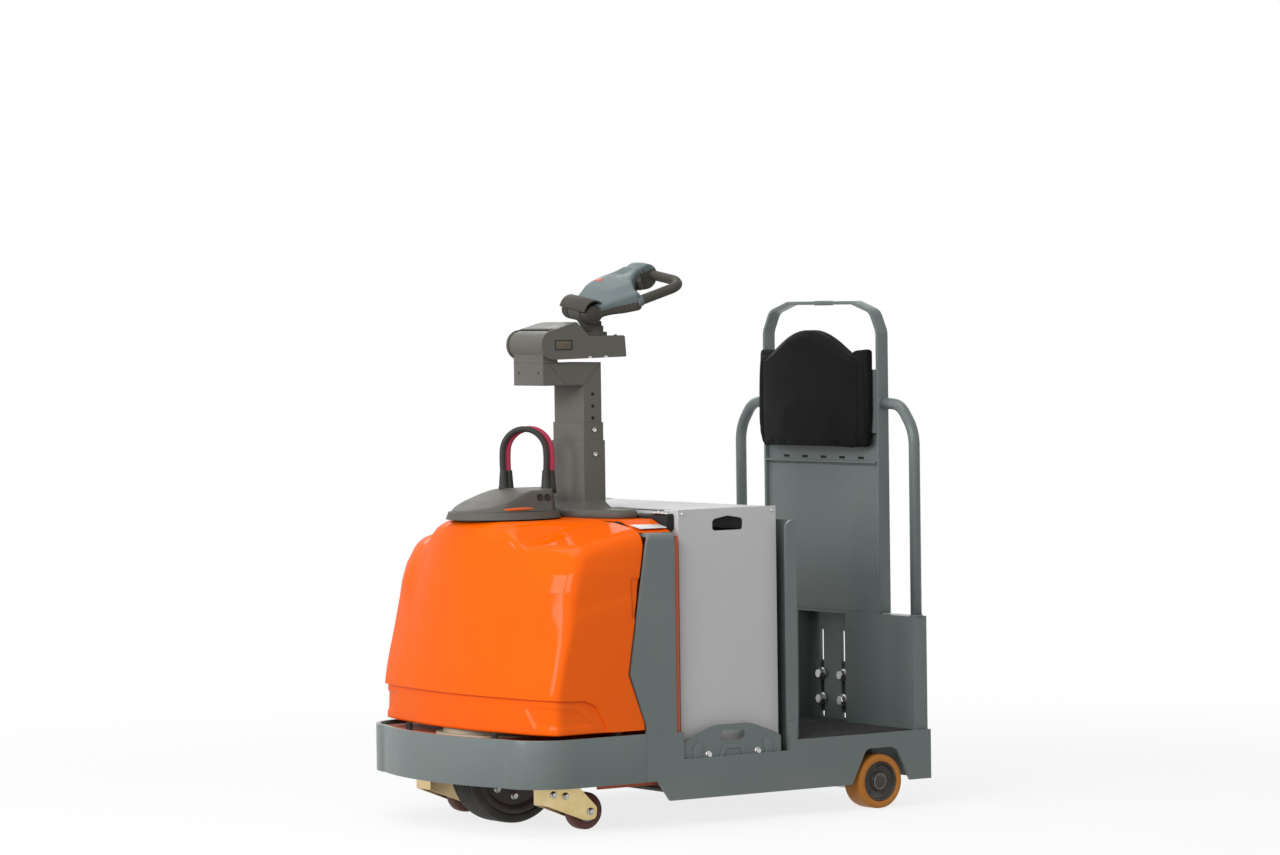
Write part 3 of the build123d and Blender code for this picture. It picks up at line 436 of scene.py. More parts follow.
def smoothMax(a, b, blend):
    near = np.maximum(blend - np.abs(a - b), 0) / blend
    return np.maximum(a, b) + near * near * blend / 4


def smoothMin(a, b, blend):
    return -smoothMax(-a, -b, blend)


def ease(value, low, high):
    part = np.clip((value - low) / (high - low), 0, 1)
    return part * part * (3 - 2 * part)


# Finishes

colours = {row["slot"]: tuple(row["base_color"][:3]) for row in frame["record"]["materials"]}
black, white = (0, 0, 0), (1, 1, 1)


def mixed(colour, other, share):
    return tuple(a + (b - a) * share for a, b in zip(colour, other))


def grime(f, colour, dust=(0.30, 0.27, 0.22), low=0.14, amount=0.35):
    # road dust, thick near the ground and thin in patches above it
    nearGround = (1.0 - f.split()[2] / low).clamp() * amount
    patches = f.ramp(f.noise(5.5, 5.0, 0.62), (0.45, 0.0), (0.75, 1.0))
    share = (nearGround * (patches * 0.7 + 0.3) + patches * amount * 0.10).clamp()
    return f.tint(share, colour, dust)


def painted(
    name, tone, roughness=0.42, coat=0.12, wearAndSheen=0.5, bareAndSheen=(0.28, 0.28, 0.27), radius=0.0012, shift=0.10,
    shine=0.22, dirt=0.35,
):
    # powder coat: faint mottling, orange peel, rounded edges rubbed thin in chipped patches, and a faint painted
    # highlight along every rounded edge
    f = Finish(name, tone, roughness, Coat_Roughness=0.12, Specular_IOR_Level=shine)
    broad = f.noise(2.4, 4.0, 0.6)
    body = f.tint(broad, mixed(tone, black, shift), mixed(tone, white, shift * 0.35))
    scuffs = f.ramp(f.noise(9.0, 6.0, 0.75, f.stretch((1.0, 1.0, 5.0))), (0.60, 0.0), (0.74, 1.0))
    rubbedAndSheen = scuffs * 0.05 * wearAndSheen
    soft = None
    if radius:
        soft, edges = f.worn(radius, 2.2)
        chips = f.ramp(f.noise(70.0, 4.0, 0.7), (0.50, 0.0), (0.66, 1.0))
        # the 0.15 share tints every rounded edge toward the bare tone: a painted highlight; the chips add the real
        # wear
        rubbedAndSheen = (edges * (chips * 0.85 + 0.15) * wearAndSheen + rubbedAndSheen).clamp()
    f.put("Base Color", grime(f, f.tint(rubbedAndSheen, body, bareAndSheen), amount=dirt))
    f.put("Roughness", f.ramp(f.noise(14.0, 4.0, 0.6), (0.25, roughness - 0.08), (0.8, roughness + 0.12)))
    f.put("Coat Weight", coat)
    peel = f.noise(420.0, 1.5)
    waves = f.noise(22.0, 2.0)
    f.put("Normal", f.bump(peel * 0.5 + waves, 0.10, 0.0012, soft))
    return f


def moulded(name, tone, roughness=0.55, grain=900.0, depth=0.28, radius=0.0016, shift=0.14, dusty=0.5, shine=0.16):
    # grained plastic or rubber
    f = Finish(name, tone, roughness, Specular_IOR_Level=shine)
    broad = f.noise(3.0, 4.0, 0.6)
    body = f.tint(broad, mixed(tone, black, shift), mixed(tone, white, shift * 0.22))
    soft, edges = f.worn(radius, 2.0)
    rub = f.ramp(f.noise(34.0, 5.0, 0.7), (0.46, 0.0), (0.72, 1.0))
    worn = (edges * rub * 0.5 * dusty + rub * 0.06 * dusty).clamp()
    pale = f.tint(worn, body, mixed(tone, (0.5, 0.48, 0.44), 0.5))
    f.put("Base Color", grime(f, pale, amount=0.3 * dusty))
    f.put("Roughness", f.ramp(f.noise(18.0, 4.0), (0.25, roughness - 0.07), (0.8, roughness + 0.10)))
    pebbles = f.cells(grain) + f.noise(grain * 0.4, 2.0) * 0.6
    f.put("Normal", f.bump(pebbles, depth, 0.0006, soft))
    return f


def metal(name, tone, roughness=0.32, brushed=(1, 1, 1), radius=0.0008, tints=None):
    f = Finish(name, tone, roughness, Metallic=0.92)
    broad = f.noise(16.0, 4.0, 0.65)
    first, second = tints or (mixed(tone, black, 0.25), mixed(tone, white, 0.15))
    soft, edges = f.worn(radius, 2.0)
    body = f.tint(f.ramp(broad, (0.3, 0.0), (0.7, 1.0)), first, second)
    # rounded edges tinted toward white: a painted highlight along them
    f.put("Base Color", grime(f, f.tint(edges * 0.4, body, mixed(tone, white, 0.5)), amount=0.3))
    scratch = f.noise(160.0, 5.0, 0.7, f.stretch(brushed))
    f.put("Roughness", f.ramp(scratch, (0.3, roughness - 0.10), (0.8, roughness + 0.16)))
    f.put("Normal", f.bump(scratch, 0.16, 0.0004, soft))
    return f


finishes = {
    "steel_grey": painted("steelGrey", colours["steel_grey"], 0.36, 0.22, 0.55, shift=0.12),
    "hood_orange": painted(
        "hoodOrange", (0.90, 0.122, 0.0), 0.26, 0.24, 0.1, (0.95, 0.30, 0.05), 0, 0.008, shine=0.0, dirt=0.07
    ),
    "deck_orange": painted("deckOrange", colours["deck_orange"], 0.5, 0.05, 0.5, (0.30, 0.10, 0.05)),
    "battery_grey": painted(
        "batteryGrey", mixed(colours["battery_grey"], white, 0.16), 0.46, 0.08, 0.35, (0.62, 0.62, 0.60), shift=0.07
    ),
    "column_grey": painted(
        "columnGrey", colours["column_grey"], 0.50, 0.04, 0.5, (0.24, 0.23, 0.20), 0.004, 0.12
    ),
    "unit_beige": painted("unitBeige", colours["unit_beige"], 0.6, 0.0, 0.5, (0.25, 0.22, 0.18)),
    "cell_block": moulded("cellBlock", colours["cell_block"]),
    "cover_grey": moulded("coverGrey", mixed(colours["cover_grey"], black, 0.2), 0.55, 1100.0, 0.22),
    "handle_shell": moulded("handleShell", (0.13, 0.165, 0.17), 0.46, 1500.0, 0.16, 0.0014, 0.08, 0.3),
    "grip_black": moulded(
        "gripBlack", mixed(colours["grip_black"], black, 0.1), 0.58, 800.0, 0.35, 0.0012, 0.1, 0.3
    ),
    "pad_black": moulded(
        "padBlack", (0.0065, 0.0065, 0.0065), 0.50, 1400.0, 0.10, 0.003, 0.05, dusty=0.04, shine=0.03
    ),
    "mat_black": moulded("matBlack", mixed(colours["mat_black"], black, 0.25), 0.66, 500.0, 0.4),
    "cable_black": moulded("cableBlack", colours["cable_black"], 0.5, 1400.0, 0.10, 0.0005, 0.1, 0.3),
    "cable_red": moulded("cableRed", colours["cable_red"], 0.42, 1400.0, 0.08, 0.0005, 0.08, 0.2),
    "tyre_poly": moulded("tyrePoly", (0.50, 0.180, 0.022), 0.48, 300.0, 0.12, 0.003, 0.10, 0.2),
    "hub_black": painted("hubBlack", (0.015, 0.012, 0.008), 0.42, 0.08, 0.3, (0.08, 0.07, 0.05), shine=0.25),
    "drive_black": moulded("driveBlack", colours["drive_black"], 0.68, 700.0, 0.3, 0.003, 0.1, 1.0),
    "rim_black": painted("rimBlack", colours["rim_black"], 0.45, 0.1, 0.5),
    "caster_red": moulded("casterRed", colours["caster_red"], 0.55, 700.0, 0.2, 0.002, 0.1, 0.8),
    "axle_steel": metal("axleSteel", colours["axle_steel"], 0.34),
    "bolt_zinc": metal("boltZinc", colours["bolt_zinc"], 0.30, (1, 1, 8)),
    "caster_zinc": metal(
        "casterZinc", colours["caster_zinc"], 0.34, (1, 1, 3), tints=((0.62, 0.49, 0.20), (0.78, 0.60, 0.35))
    ),
}
finishes["insert"] = moulded("armInsert", (0.115, 0.098, 0.062), 0.5)
# near-black, painted as the shade inside holes, slots and gaps
finishes["dark"] = moulded("darkOpening", (0.006, 0.006, 0.006), 0.7)
finishes["label"] = painted("blankLabel", (0.72, 0.72, 0.70), 0.4, 0.1, 0.0, (0.8, 0.8, 0.8), 0.0006, 0.05)
finishes["stripe"] = painted("orangeStripe", (0.80, 0.12, 0.01), 0.4, 0.1, 0.1)
finishes["button"] = moulded("orangeButton", (0.70, 0.10, 0.01), 0.35, 1500.0, 0.05, 0.001, 0.05, 0.1)

for row in frame["record"]["subparts"]:
    mesh = nodes[row["node"]].data
    mesh.materials.clear()
    mesh.materials.append(finishes[row["material_slot"]].material)


# Hood

hoodForm = {
    "low": 271.0,
    "top": 832.0,
    "skin": 4.0,
    "half": 430.0,
    "rearX": 968.0,
    "fanX": 1100.0,
    "coreY": 250.0,
    "turnZ": 640.0,
    "columns": (30, 96, 40),  # along the side, round the corner, half of the front
    "rows": (18, 4, 46),  # in the low band, over the band's upper line, on the wall above it
    "shoulderRows": 76,
    "reach": 420.0,  # no ray is longer
    "facetBlend": 22,
    "noseBlend": 26,
    "bulgeBlend": 14,
    "joinBlend": 12,
    "lineZ": 360.0,  # about the height of the band's upper line
    "sharp": 1.4,  # half the height of the step at that line
    "recess": 9.0,
    "panelRecess": 4.0,
    "handRecess": 4.5,
    "corner": (
        # height, side crease x and y, front crease x and y
        (271, 1268, 430, 1298, 368),
        (374, 1265, 430, 1294, 364),
        (420, 1258, 430, 1287, 356),
        (452, 1251, 430, 1281, 349),
        (518, 1236, 429, 1270, 341),
        (584, 1220, 427, 1259, 348),
        (652, 1204, 424, 1246, 366),
        (700, 1191, 420, 1229, 366),
        (739, 1174, 411, 1209, 363),
        (790, 1148, 398, 1183, 356),
    ),
    "bulge": (
        # height, nose x, crease x and y
        (271, 1338, 1306, 300),
        (374, 1333, 1300, 300),
        (450, 1326, 1291, 290),
        (521, 1319, 1279, 279),
        (562, 1315, 1270, 283),
        (603, 1311, 1263, 283),
        (660, 1306, 1256, 265),
        (701, 1301, 1250, 252),
        (744, 1296, 1245, 235),
        (785, 1291, 1240, 223),
        (807, 1288, 1238, 191),
        (832, 1283, 1221, 150),
    ),
    "shoulder": (
        # distance from the middle, height
        (0, 829), (200, 829), (250, 828), (293, 826), (334, 820), (381, 812), (410, 799), (425, 783), (445, 758),
    ),
    "rearSide": ((271, 430), (600, 430), (742, 429), (783, 425), (832, 420)),
    "bandLine": ((1090, 268), (1095, 275), (1114, 313), (1138, 345), (1174, 360), (1263, 364), (1330, 366)),
    "rearEdge": ((261, 981), (288, 981), (422, 1032), (778, 973), (840, 973)),
}


def column(rows, height, index):
    table = np.array(rows, dtype=float)
    return np.interp(height, table[:, 0], table[:, index])


def hoodField(x, y, z):
    # below 0 inside the hood and above 0 outside it; y is the distance from the middle
    h = hoodForm
    sx, sy, cx, cy = (column(h["corner"], z, k) for k in (1, 2, 3, 4))
    nose, bx, by = (column(h["bulge"], z, k) for k in (1, 2, 3))
    rearY = column(h["rearSide"], z, 1)
    along = np.clip((x - h["rearX"]) / (sx - h["rearX"]), 0, 1.2)
    side = y - (rearY + (sy - rearY) * along)
    length = np.hypot(cx - sx, sy - cy)
    facet = ((sy - cy) * (x - sx) + (cx - sx) * (y - sy)) / length
    slope = (cx - bx) / np.maximum(cy - by, 20)
    front = x - (bx + slope * np.clip(y - by, 0, 200))
    drop = 64 * np.clip((x - h["rearX"]) / 270, 0, 2) ** 1.25
    roof = z - (column(h["shoulder"], y, 1) - drop)
    wrap = smoothMax(side, facet, h["facetBlend"])
    lower = smoothMax(smoothMax(wrap, front, h["noseBlend"]), roof, h["facetBlend"])
    bulgeFront = x - (nose - (nose - bx) * (y / by) ** 2)
    wall = 0.7 * (y - (224 - 1.03 * (z - 775) + 0.25 * (1238 - x)))
    bulge = smoothMax(smoothMax(bulgeFront, wall, h["bulgeBlend"]), z - h["top"], h["facetBlend"])
    return smoothMin(lower, smoothMax(bulge, wrap, h["bulgeBlend"]), h["joinBlend"])


def hoodHits(origin, ahead):
    # how far rays from inside run until they leave the hood
    near = np.zeros(origin.shape[:-1])
    far = near + hoodForm["reach"]
    for _ in range(34):
        middle = (near + far) / 2
        p = origin + ahead * middle[..., None]
        outside = hoodField(p[..., 0], np.abs(p[..., 1]), p[..., 2]) > 0
        far = np.where(outside, middle, far)
        near = np.where(outside, near, middle)
    return near


def makeHood():
    h = hoodForm
    sideCount, fanCount, frontCount = h["columns"]
    edge = np.array(h["rearEdge"], dtype=float)
    rearX = lambda height: np.interp(height, edge[:, 0], edge[:, 1])
    spread = np.linspace(0, 1, sideCount) ** 1.15
    fan = np.linspace(0, math.pi / 2, fanCount + 2)[1:-1]
    # columns: how far along the side, the turn of the ray, and y of its start
    along = np.concatenate((spread, np.ones(fanCount + frontCount)))
    turn = np.concatenate((np.zeros(sideCount), fan, np.full(frontCount, math.pi / 2)))
    startY = np.concatenate((np.full(sideCount + fanCount, h["coreY"]), np.linspace(h["coreY"], 0, frontCount)))
    count = len(along)
    # the line above the recessed band for each column, found on the wall at about its height
    zero = np.zeros(count)
    flatX = np.sin(turn)
    flatY = np.cos(turn)
    guessZ = zero + h["lineZ"]
    x0 = rearX(h["lineZ"]) + (h["fanX"] - rearX(h["lineZ"])) * along
    flat = np.stack((flatX, flatY, zero), axis=-1)
    hit = hoodHits(np.stack((x0, startY, guessZ), axis=-1), flat)
    wallX = x0 + hit * flatX
    band = np.array(h["bandLine"], dtype=float)
    bandZ = np.interp(wallX, band[:, 0], band[:, 1])
    low, sharp = h["low"], h["sharp"]
    bandRows, lineRows, wallRows = h["rows"]
    steps = np.concatenate((
        np.linspace(0, 1, bandRows), 1 + np.linspace(0, 1, lineRows)[1:], 2 + np.linspace(0, 1, wallRows)[1:]
    ))
    rows = []
    for step in steps:
        lineZ = np.maximum(bandZ, low + 6)
        if step <= 1:
            z = low + (lineZ - sharp - low) * step
        elif step <= 2:
            z = lineZ - sharp + 2 * sharp * (step - 1)
        else:
            z = lineZ + sharp + (h["turnZ"] - lineZ - sharp) * (step - 2)
        x = rearX(z) + (h["fanX"] - rearX(z)) * along
        start = np.stack((x, startY, z), axis=-1)
        rows.append((start, flat, z < bandZ))
    lifts = np.linspace(0, math.pi / 2, h["shoulderRows"] + 1)[1:]
    for lift in lifts:
        guess = h["turnZ"] + (h["half"] - h["coreY"]) * math.tan(min(lift, 0.69))
        x = rearX(guess) + (h["fanX"] - rearX(guess)) * along
        start = np.stack((x, startY, zero + h["turnZ"]), axis=-1)
        ahead = np.stack((flatX * math.cos(lift), flatY * math.cos(lift), zero + math.sin(lift)), axis=-1)
        rows.append((start, ahead, zero > 1))
    start = np.array([row[0] for row in rows])
    ahead = np.array([row[1] for row in rows])
    recessed = np.array([row[2] for row in rows])
    reach = hoodHits(start, ahead)
    points = start + ahead * reach[..., None]
    points -= ahead * hoodRelief(points, recessed)[..., None]
    # the flat roof behind the fan, a grid between the side's columns and the front's
    roofX = points[-1, :sideCount, 0]
    roofY = np.linspace(h["coreY"], 0, frontCount)
    gx, gy = np.meshgrid(roofX, roofY, indexing="ij")
    gz = gx * 0 + h["turnZ"]
    upward = np.stack((gx * 0, gx * 0, gx * 0 + 1), axis=-1)
    start = np.stack((gx, gy, gz), axis=-1)
    roof = start + upward * hoodHits(start, upward)[..., None]
    verts = [tuple(p) for p in points.reshape(-1, 3)] + [tuple(p) for p in roof.reshape(-1, 3)]
    faces = gridFaces(len(rows), count) + gridFaces(sideCount, frontCount, start=len(rows) * count)
    total = len(verts)
    verts += [(x, -y, z) for x, y, z in verts]
    faces += [tuple(total + i for i in face) for face in faces]
    mesh = meshOf("hoodShell", verts, faces, weld=0.05)
    made = settle("hoodShell", mesh, "hood_orange", node="hood")
    shell = made.modifiers.new("skin", "SOLIDIFY")
    shell.thickness = h["skin"] * mm
    shell.offset = -1
    return made


def hoodRelief(points, recessed):
    # depth taken off along each ray: the low band, its panel and the hand recess beside the pillar
    x, y, z = points[..., 0], np.abs(points[..., 1]), points[..., 2]
    h = hoodForm
    depth = np.where(recessed, h["recess"], 0.0)
    slantRear = ease(x - (1198 + (z - 333) * 1.43), -2, 2)
    slantFront = ease((y - (320 + (346 - z) * 0.77)), -2, 2)
    inPanel = slantRear * slantFront * ease(z, 290, 294) * (1 - ease(z - (333 + (x - 1198) * 0.13), -2, 2))
    depth = depth + h["panelRecess"] * inPanel * recessed
    hand = (1 - ease(x, 1012, 1018)) * ease(z, 569, 575) * (1 - ease(z, 677, 683)) * ease(y, 300, 320)
    return depth + h["handRecess"] * hand


# Cable arches

cableForm = {
    "diameter": 0.016,
    "length": 0.403,
    # the tapered sleeves at its ends: along and radius in millimetres
    "sleeve": ((-16, 0), (-16, 14), (0, 13.5), (3, 12.4), (20, 11.2), (38, 9.6), (41, 9.2), (42, 8.2), (42, 0)),
    "sleeveStretch": 1.1,
}
cableRoutes = {
    # the same points as the part's source, in metres from the chassis's rear face
    "blackCable": (
        (1.1080, -0.0480, 0.918),
        (1.1080, -0.0480, 0.948),
        (1.1101, -0.0501, 0.993),
        (1.1080, -0.0480, 1.0432),
        (1.0834, -0.0234, 1.078),
        (1.0486, 0.0114, 1.078),
        (1.0240, 0.0360, 1.0432),
        (1.0219, 0.0381, 0.993),
        (1.0240, 0.0360, 0.948),
        (1.0240, 0.0360, 0.918),
    ),
    "redCable": (
        (1.0870, -0.0520, 0.918),
        (1.0870, -0.0520, 0.948),
        (1.0891, -0.0541, 0.993),
        (1.0870, -0.0520, 1.0432),
        (1.0624, -0.0274, 1.078),
        (1.0276, 0.0074, 1.078),
        (1.0030, 0.0320, 1.0432),
        (1.0009, 0.0341, 0.993),
        (1.0030, 0.0320, 0.948),
        (1.0030, 0.0320, 0.918),
    ),
}


def layCable(name, slot):
    route = [Vector(p) - Vector((originX * mm, 0, 0)) for p in cableRoutes[name]]
    curve = bpy.data.curves.new(name, "CURVE")
    curve.dimensions = "3D"
    spline = curve.splines.new("NURBS")
    spline.points.add(len(route) - 1)
    for point, place in zip(spline.points, route):
        point.co = (*place, 1.0)
    spline.order_u = 3
    spline.use_endpoint_u = True
    spline.resolution_u = 12
    curve.bevel_depth = cableForm["diameter"] / 2
    curve.bevel_resolution = 6
    curve.materials.append(finishes[slot].material)
    made = bpy.data.objects.new(name, curve)
    bpy.context.scene.collection.objects.link(made)
    # sleeves where the arch goes into the steering head cover, tapered upward
    profile = [(along * cableForm["sleeveStretch"], radius) for along, radius in cableForm["sleeve"]]
    for index, foot in enumerate((route[0], route[-1])):
        place = (foot.x / mm + originX, foot.y / mm, foot.z / mm)
        mesh = spun(f"{name}Sleeve{index}", profile, place, (0, 0, 1), 32)
        settle(f"{name}Sleeve{index}", mesh, "cable_black")
    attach(made, "chassis")
    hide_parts(slot)


# Steering head cover

podForm = {
    "centre": (1141.0, 0.0),
    "base": (151.0, 128.0),
    "low": 856.0,
    "top": 919.0,
    "rings": 46,
    "steps": 120,
    "flank": 104.0,
    "holes": ((1082.0, 893.0), (1056.0, 892.0)),
    "socket": ((-8, 0), (-8, 9.6), (3.4, 9.6), (3.8, 8.6), (3.2, 7.6), (3.0, 0)),
    "strip": (0.98, 1.92, 30),  # first and last turn about the centre, and points between
    "stripZ": 862.5,
    "stripInset": 3.4,
}


def podHeight(x, y):
    p = podForm
    u = (x - p["centre"][0]) / p["base"][0]
    v = (y - p["centre"][1]) / p["base"][1]
    inside = (1 - np.sqrt(u * u + v * v)) * p["base"][1]
    flank = 3.6 * (p["flank"] - y + 0.10 * (x - 1100)) * 0.9
    steep = 2.3 + 5.5 * ease(1090 - x, 0, 70)
    inside = smoothMin(inside, flank / steep, 6 / steep)
    wall = p["low"] + 1 + np.clip(steep * inside, -2, 400)
    slope = p["top"] + 1 - 0.33 * np.clip(x - 1104, 0, 400) - 0.0006 * (y + 10) ** 2
    crown = p["top"] - 0.0005 * (y + 8) ** 2 - 0.0002 * (x - 1060) ** 2
    return smoothMin(smoothMin(slope, crown, 12), wall, 13)


def podPlan(reach, turn):
    # the point of the plan at a share of its radius and a turn about its centre
    (x, y), (length, width) = podForm["centre"], podForm["base"]
    return x + length * reach * math.cos(turn), y + width * reach * math.sin(turn)


def furthest(near, far, holds, rounds=30):
    # the furthest value that still holds
    for _ in range(rounds):
        middle = (near + far) / 2
        near, far = (middle, far) if holds(middle) else (near, middle)
    return near


def makePod():
    p = podForm
    spread = np.linspace(0, 1, p["rings"])
    reach = 1 - (1 - spread) ** 1.6
    points = []
    for r in reach[::-1]:
        for j in range(p["steps"]):
            x, y = podPlan(r, 2 * math.pi * j / p["steps"])
            points.append((x, y, float(podHeight(x, y))))
    points = [(x, y, p["low"]) for x, y, _ in points[: p["steps"]]] + points
    faces = gridFaces(p["rings"] + 1, p["steps"], closed=True)
    faces.append(tuple(range(p["steps"])))
    mesh = meshOf("podDome", points, faces, weld=0.02)
    settle("podDome", mesh, "cover_grey", node="pod_dome")
    # two holes in the near side, each a near-black plug painted as the shade inside it, and the orange strip on the
    # tray
    for index, (x, z) in enumerate(p["holes"]):
        wall = furthest(0.0, p["base"][1], lambda y: podHeight(x, y) > z)
        mesh = spun(f"podSocket{index}", p["socket"], (x, wall, z), (0.04, 1, 0.24), 28)
        settle(f"podSocket{index}", mesh, "dark")
    first, last, count = p["strip"]
    strip, widths = [], []
    for k, turn in enumerate(np.linspace(first, last, count)):
        edge = furthest(0.5, 1.0, lambda r: podHeight(*podPlan(r, turn)) > p["stripZ"] + 1, 24)
        x, y = podPlan(edge, turn)
        strip.append((x - p["stripInset"] * math.cos(turn), y - p["stripInset"] * math.sin(turn), p["stripZ"]))
        widths.append(0.8 + 5.2 * math.sin(math.pi * k / (count - 1)) ** 0.5)
    mesh = tubeAlong("podStrip", strip, widths, 16)
    settle("podStrip", mesh, "stripe")


# Fasteners, set out by geometry nodes

buttonProfile = ((0, 0), (0, 6.0), (0.8, 6.0), (2.6, 4.8), (3.4, 3.0), (3.5, 2.2), (2.0, 2.0), (2.0, 0))
fastenerHeads = {
    # profile of (along, radius), sides of the head, and its finish
    "hex": (((0, 0), (0, 12.5), (2.2, 12.5), (2.3, 9.3), (9.0, 9.3), (10.0, 8.3), (10.0, 0)), 6, "bolt_zinc"),
    "hexBig": (((0, 0), (0, 18), (3, 18), (3.1, 13.9), (13.6, 13.9), (15.4, 12.0), (15.4, 0)), 6, "bolt_zinc"),
    "button": (buttonProfile, 20, "bolt_zinc"),
    "darkButton": (buttonProfile, 20, "rim_black"),
    # near-black disc: painted shade inside a hole
    "hole": (((-0.5, 0), (-0.5, 7.0), (0.5, 7.0), (0.8, 6.4), (0.4, 5.6), (0.1, 5.2), (0.1, 0)), 24, "dark"),
    "socket": (((0, 0), (0, 9.0), (6.4, 9.0), (7.4, 8.2), (7.4, 5.0), (3.2, 4.6), (3.2, 0)), 24, "bolt_zinc"),
}


def headMesh(kind):
    profile, sides, _ = fastenerHeads[kind]
    if sides != 6:
        return spun(f"{kind}Head", profile, (originX, 0, 0), (0, 0, 1), sides)
    washer = spun("washer", (*profile[:3], (profile[2][0], 0)), (originX, 0, 0), (0, 0, 1), 32)
    corners = 24
    points = []
    for along, radius in profile[3:]:
        for j in range(corners):
            turn = 2 * math.pi * j / corners
            part = (turn % (math.pi / 3)) - math.pi / 6
            flat = radius * math.cos(math.pi / 6) / math.cos(part)
            points.append((originX + flat * math.cos(turn), flat * math.sin(turn), along))
    nut = meshOf("nut", points, gridFaces(len(profile) - 3, corners, closed=True), False, weld=0.01)
    return merged(f"{kind}Head", [washer, nut])


def fasten(name, kind, body, rows, scale=1.0):
    # rows of place in millimetres and the way the head faces
    finish = fastenerHeads[kind][2]
    head = bpy.data.objects.new(f"{name}Head", headMesh(kind))
    head.data.materials.append(finishes[finish].material)
    bpy.context.scene.collection.objects.link(head)
    spots = bpy.data.meshes.new(f"{name}Spots")
    spots.from_pydata([at(*place) for place, _ in rows], [], [])
    facing = spots.attributes.new("facing", "FLOAT_VECTOR", "POINT")
    facing.data.foreach_set("vector", [float(c) for _, way in rows for c in Vector(way).normalized()])
    holder = bpy.data.objects.new(name, spots)
    bpy.context.scene.collection.objects.link(holder)
    tree = bpy.data.node_groups.new(f"{name}Tree", "GeometryNodeTree")
    for socket, kind in (("Geometry", "Geometry"), ("Head", "Object"), ("Size", "Float"), ("Seed", "Int")):
        tree.interface.new_socket(socket, in_out="INPUT", socket_type=f"NodeSocket{kind}")
    tree.interface.new_socket("Geometry", in_out="OUTPUT", socket_type="NodeSocketGeometry")
    source, sink, way, align, spin, chance, axis, shape, spread, real, paint = map(tree.nodes.new, (
        "NodeGroupInput",
        "NodeGroupOutput",
        "GeometryNodeInputNamedAttribute",
        "FunctionNodeAlignRotationToVector",
        "FunctionNodeRotateRotation",
        "FunctionNodeRandomValue",
        "FunctionNodeAxisAngleToRotation",
        "GeometryNodeObjectInfo",
        "GeometryNodeInstanceOnPoints",
        "GeometryNodeRealizeInstances",
        "GeometryNodeSetMaterial",
    ))
    way.data_type = "FLOAT_VECTOR"
    way.inputs["Name"].default_value = "facing"
    align.axis = "Z"
    spin.rotation_space = "LOCAL"
    chance.data_type = "FLOAT"
    chance.inputs["Max"].default_value = 6.28
    axis.inputs["Axis"].default_value = (0, 0, 1)
    paint.inputs["Material"].default_value = finishes[finish].material
    join = tree.links.new
    join(way.outputs["Attribute"], align.inputs["Vector"])
    join(source.outputs["Seed"], chance.inputs["Seed"])
    join(next(s for s in chance.outputs if s.enabled), axis.inputs["Angle"])
    join(align.outputs[0], spin.inputs[0])
    join(axis.outputs[0], spin.inputs[1])
    join(source.outputs["Head"], shape.inputs["Object"])
    join(source.outputs["Geometry"], spread.inputs["Points"])
    join(shape.outputs["Geometry"], spread.inputs["Instance"])
    join(spin.outputs[0], spread.inputs["Rotation"])
    join(source.outputs["Size"], spread.inputs["Scale"])
    join(spread.outputs["Instances"], real.inputs["Geometry"])
    join(real.outputs["Geometry"], paint.inputs["Geometry"])
    join(paint.outputs["Geometry"], sink.inputs[0])
    modifier = holder.modifiers.new("spread", "NODES")
    modifier.node_group = tree
    sockets = {s.name: s.identifier for s in tree.interface.items_tree if s.in_out == "INPUT"}
    for socket, value in (("Head", head), ("Size", scale), ("Seed", 7)):
        modifier[sockets[socket]] = value
    mesh = bpy.data.meshes.new_from_object(holder.evaluated_get(bpy.context.evaluated_depsgraph_get()))
    holder.modifiers.clear()
    bpy.data.objects.remove(holder)
    bpy.data.objects.remove(head)
    mesh.name = name
    return settle(name, mesh, finish, body)


# Rider's pad

padForm = {
    "front": 104.4,
    "back": 50.0,
    "half": 227.0,
    "low": 997.0,
    "side": 1270.0,
    "hump": 1347.0,
    "wing": (
        (250, 998, 18), (260, 1100, 90), (260, 1280, 12), (200, 1284, 60), (150, 1262, 60),
        (-150, 1262, 60), (-200, 1284, 60), (-260, 1280, 12), (-260, 1100, 90), (-250, 998, 18),
    ),
    "wingFront": 72.0,
    "voxel": 0.005,
    "pressure": 4.0,
    "cap": 0.007,
    "frames": 20,
    "limits": ((46.0, -261, 994), (104.6, 261, 1346)),
    "dish": 3.0,
    "bolster": 20.0,
    "swell": (4.0, 1075.0, 52.0),  # depth, height of its middle, spread
    "seam": (2.2, 75.0, 2.4),  # depth, x of its middle, spread
    "middleZ": 1168.0,
    "foremost": 104.8,
}


def padOutline():
    # the front lobe: level sides, and a bell between them
    p = padForm
    rows = [(-p["half"] + 4, p["low"]), (-p["half"], p["low"] + 90)]
    for k in range(41):
        y = -p["half"] + 2 * p["half"] * k / 40
        bell = (0.5 + 0.5 * math.cos(math.pi * min(abs(y) / 222, 1))) ** 0.62
        rows.append((y, p["side"] - 14 + (p["hump"] - p["side"] + 10) * bell))
    rows += [(p["half"], p["low"] + 90), (p["half"] - 4, p["low"])]
    return rows


def crossPlace(rear, front):
    return lambda y, z, level: (rear + (front - rear) * level, y, z)


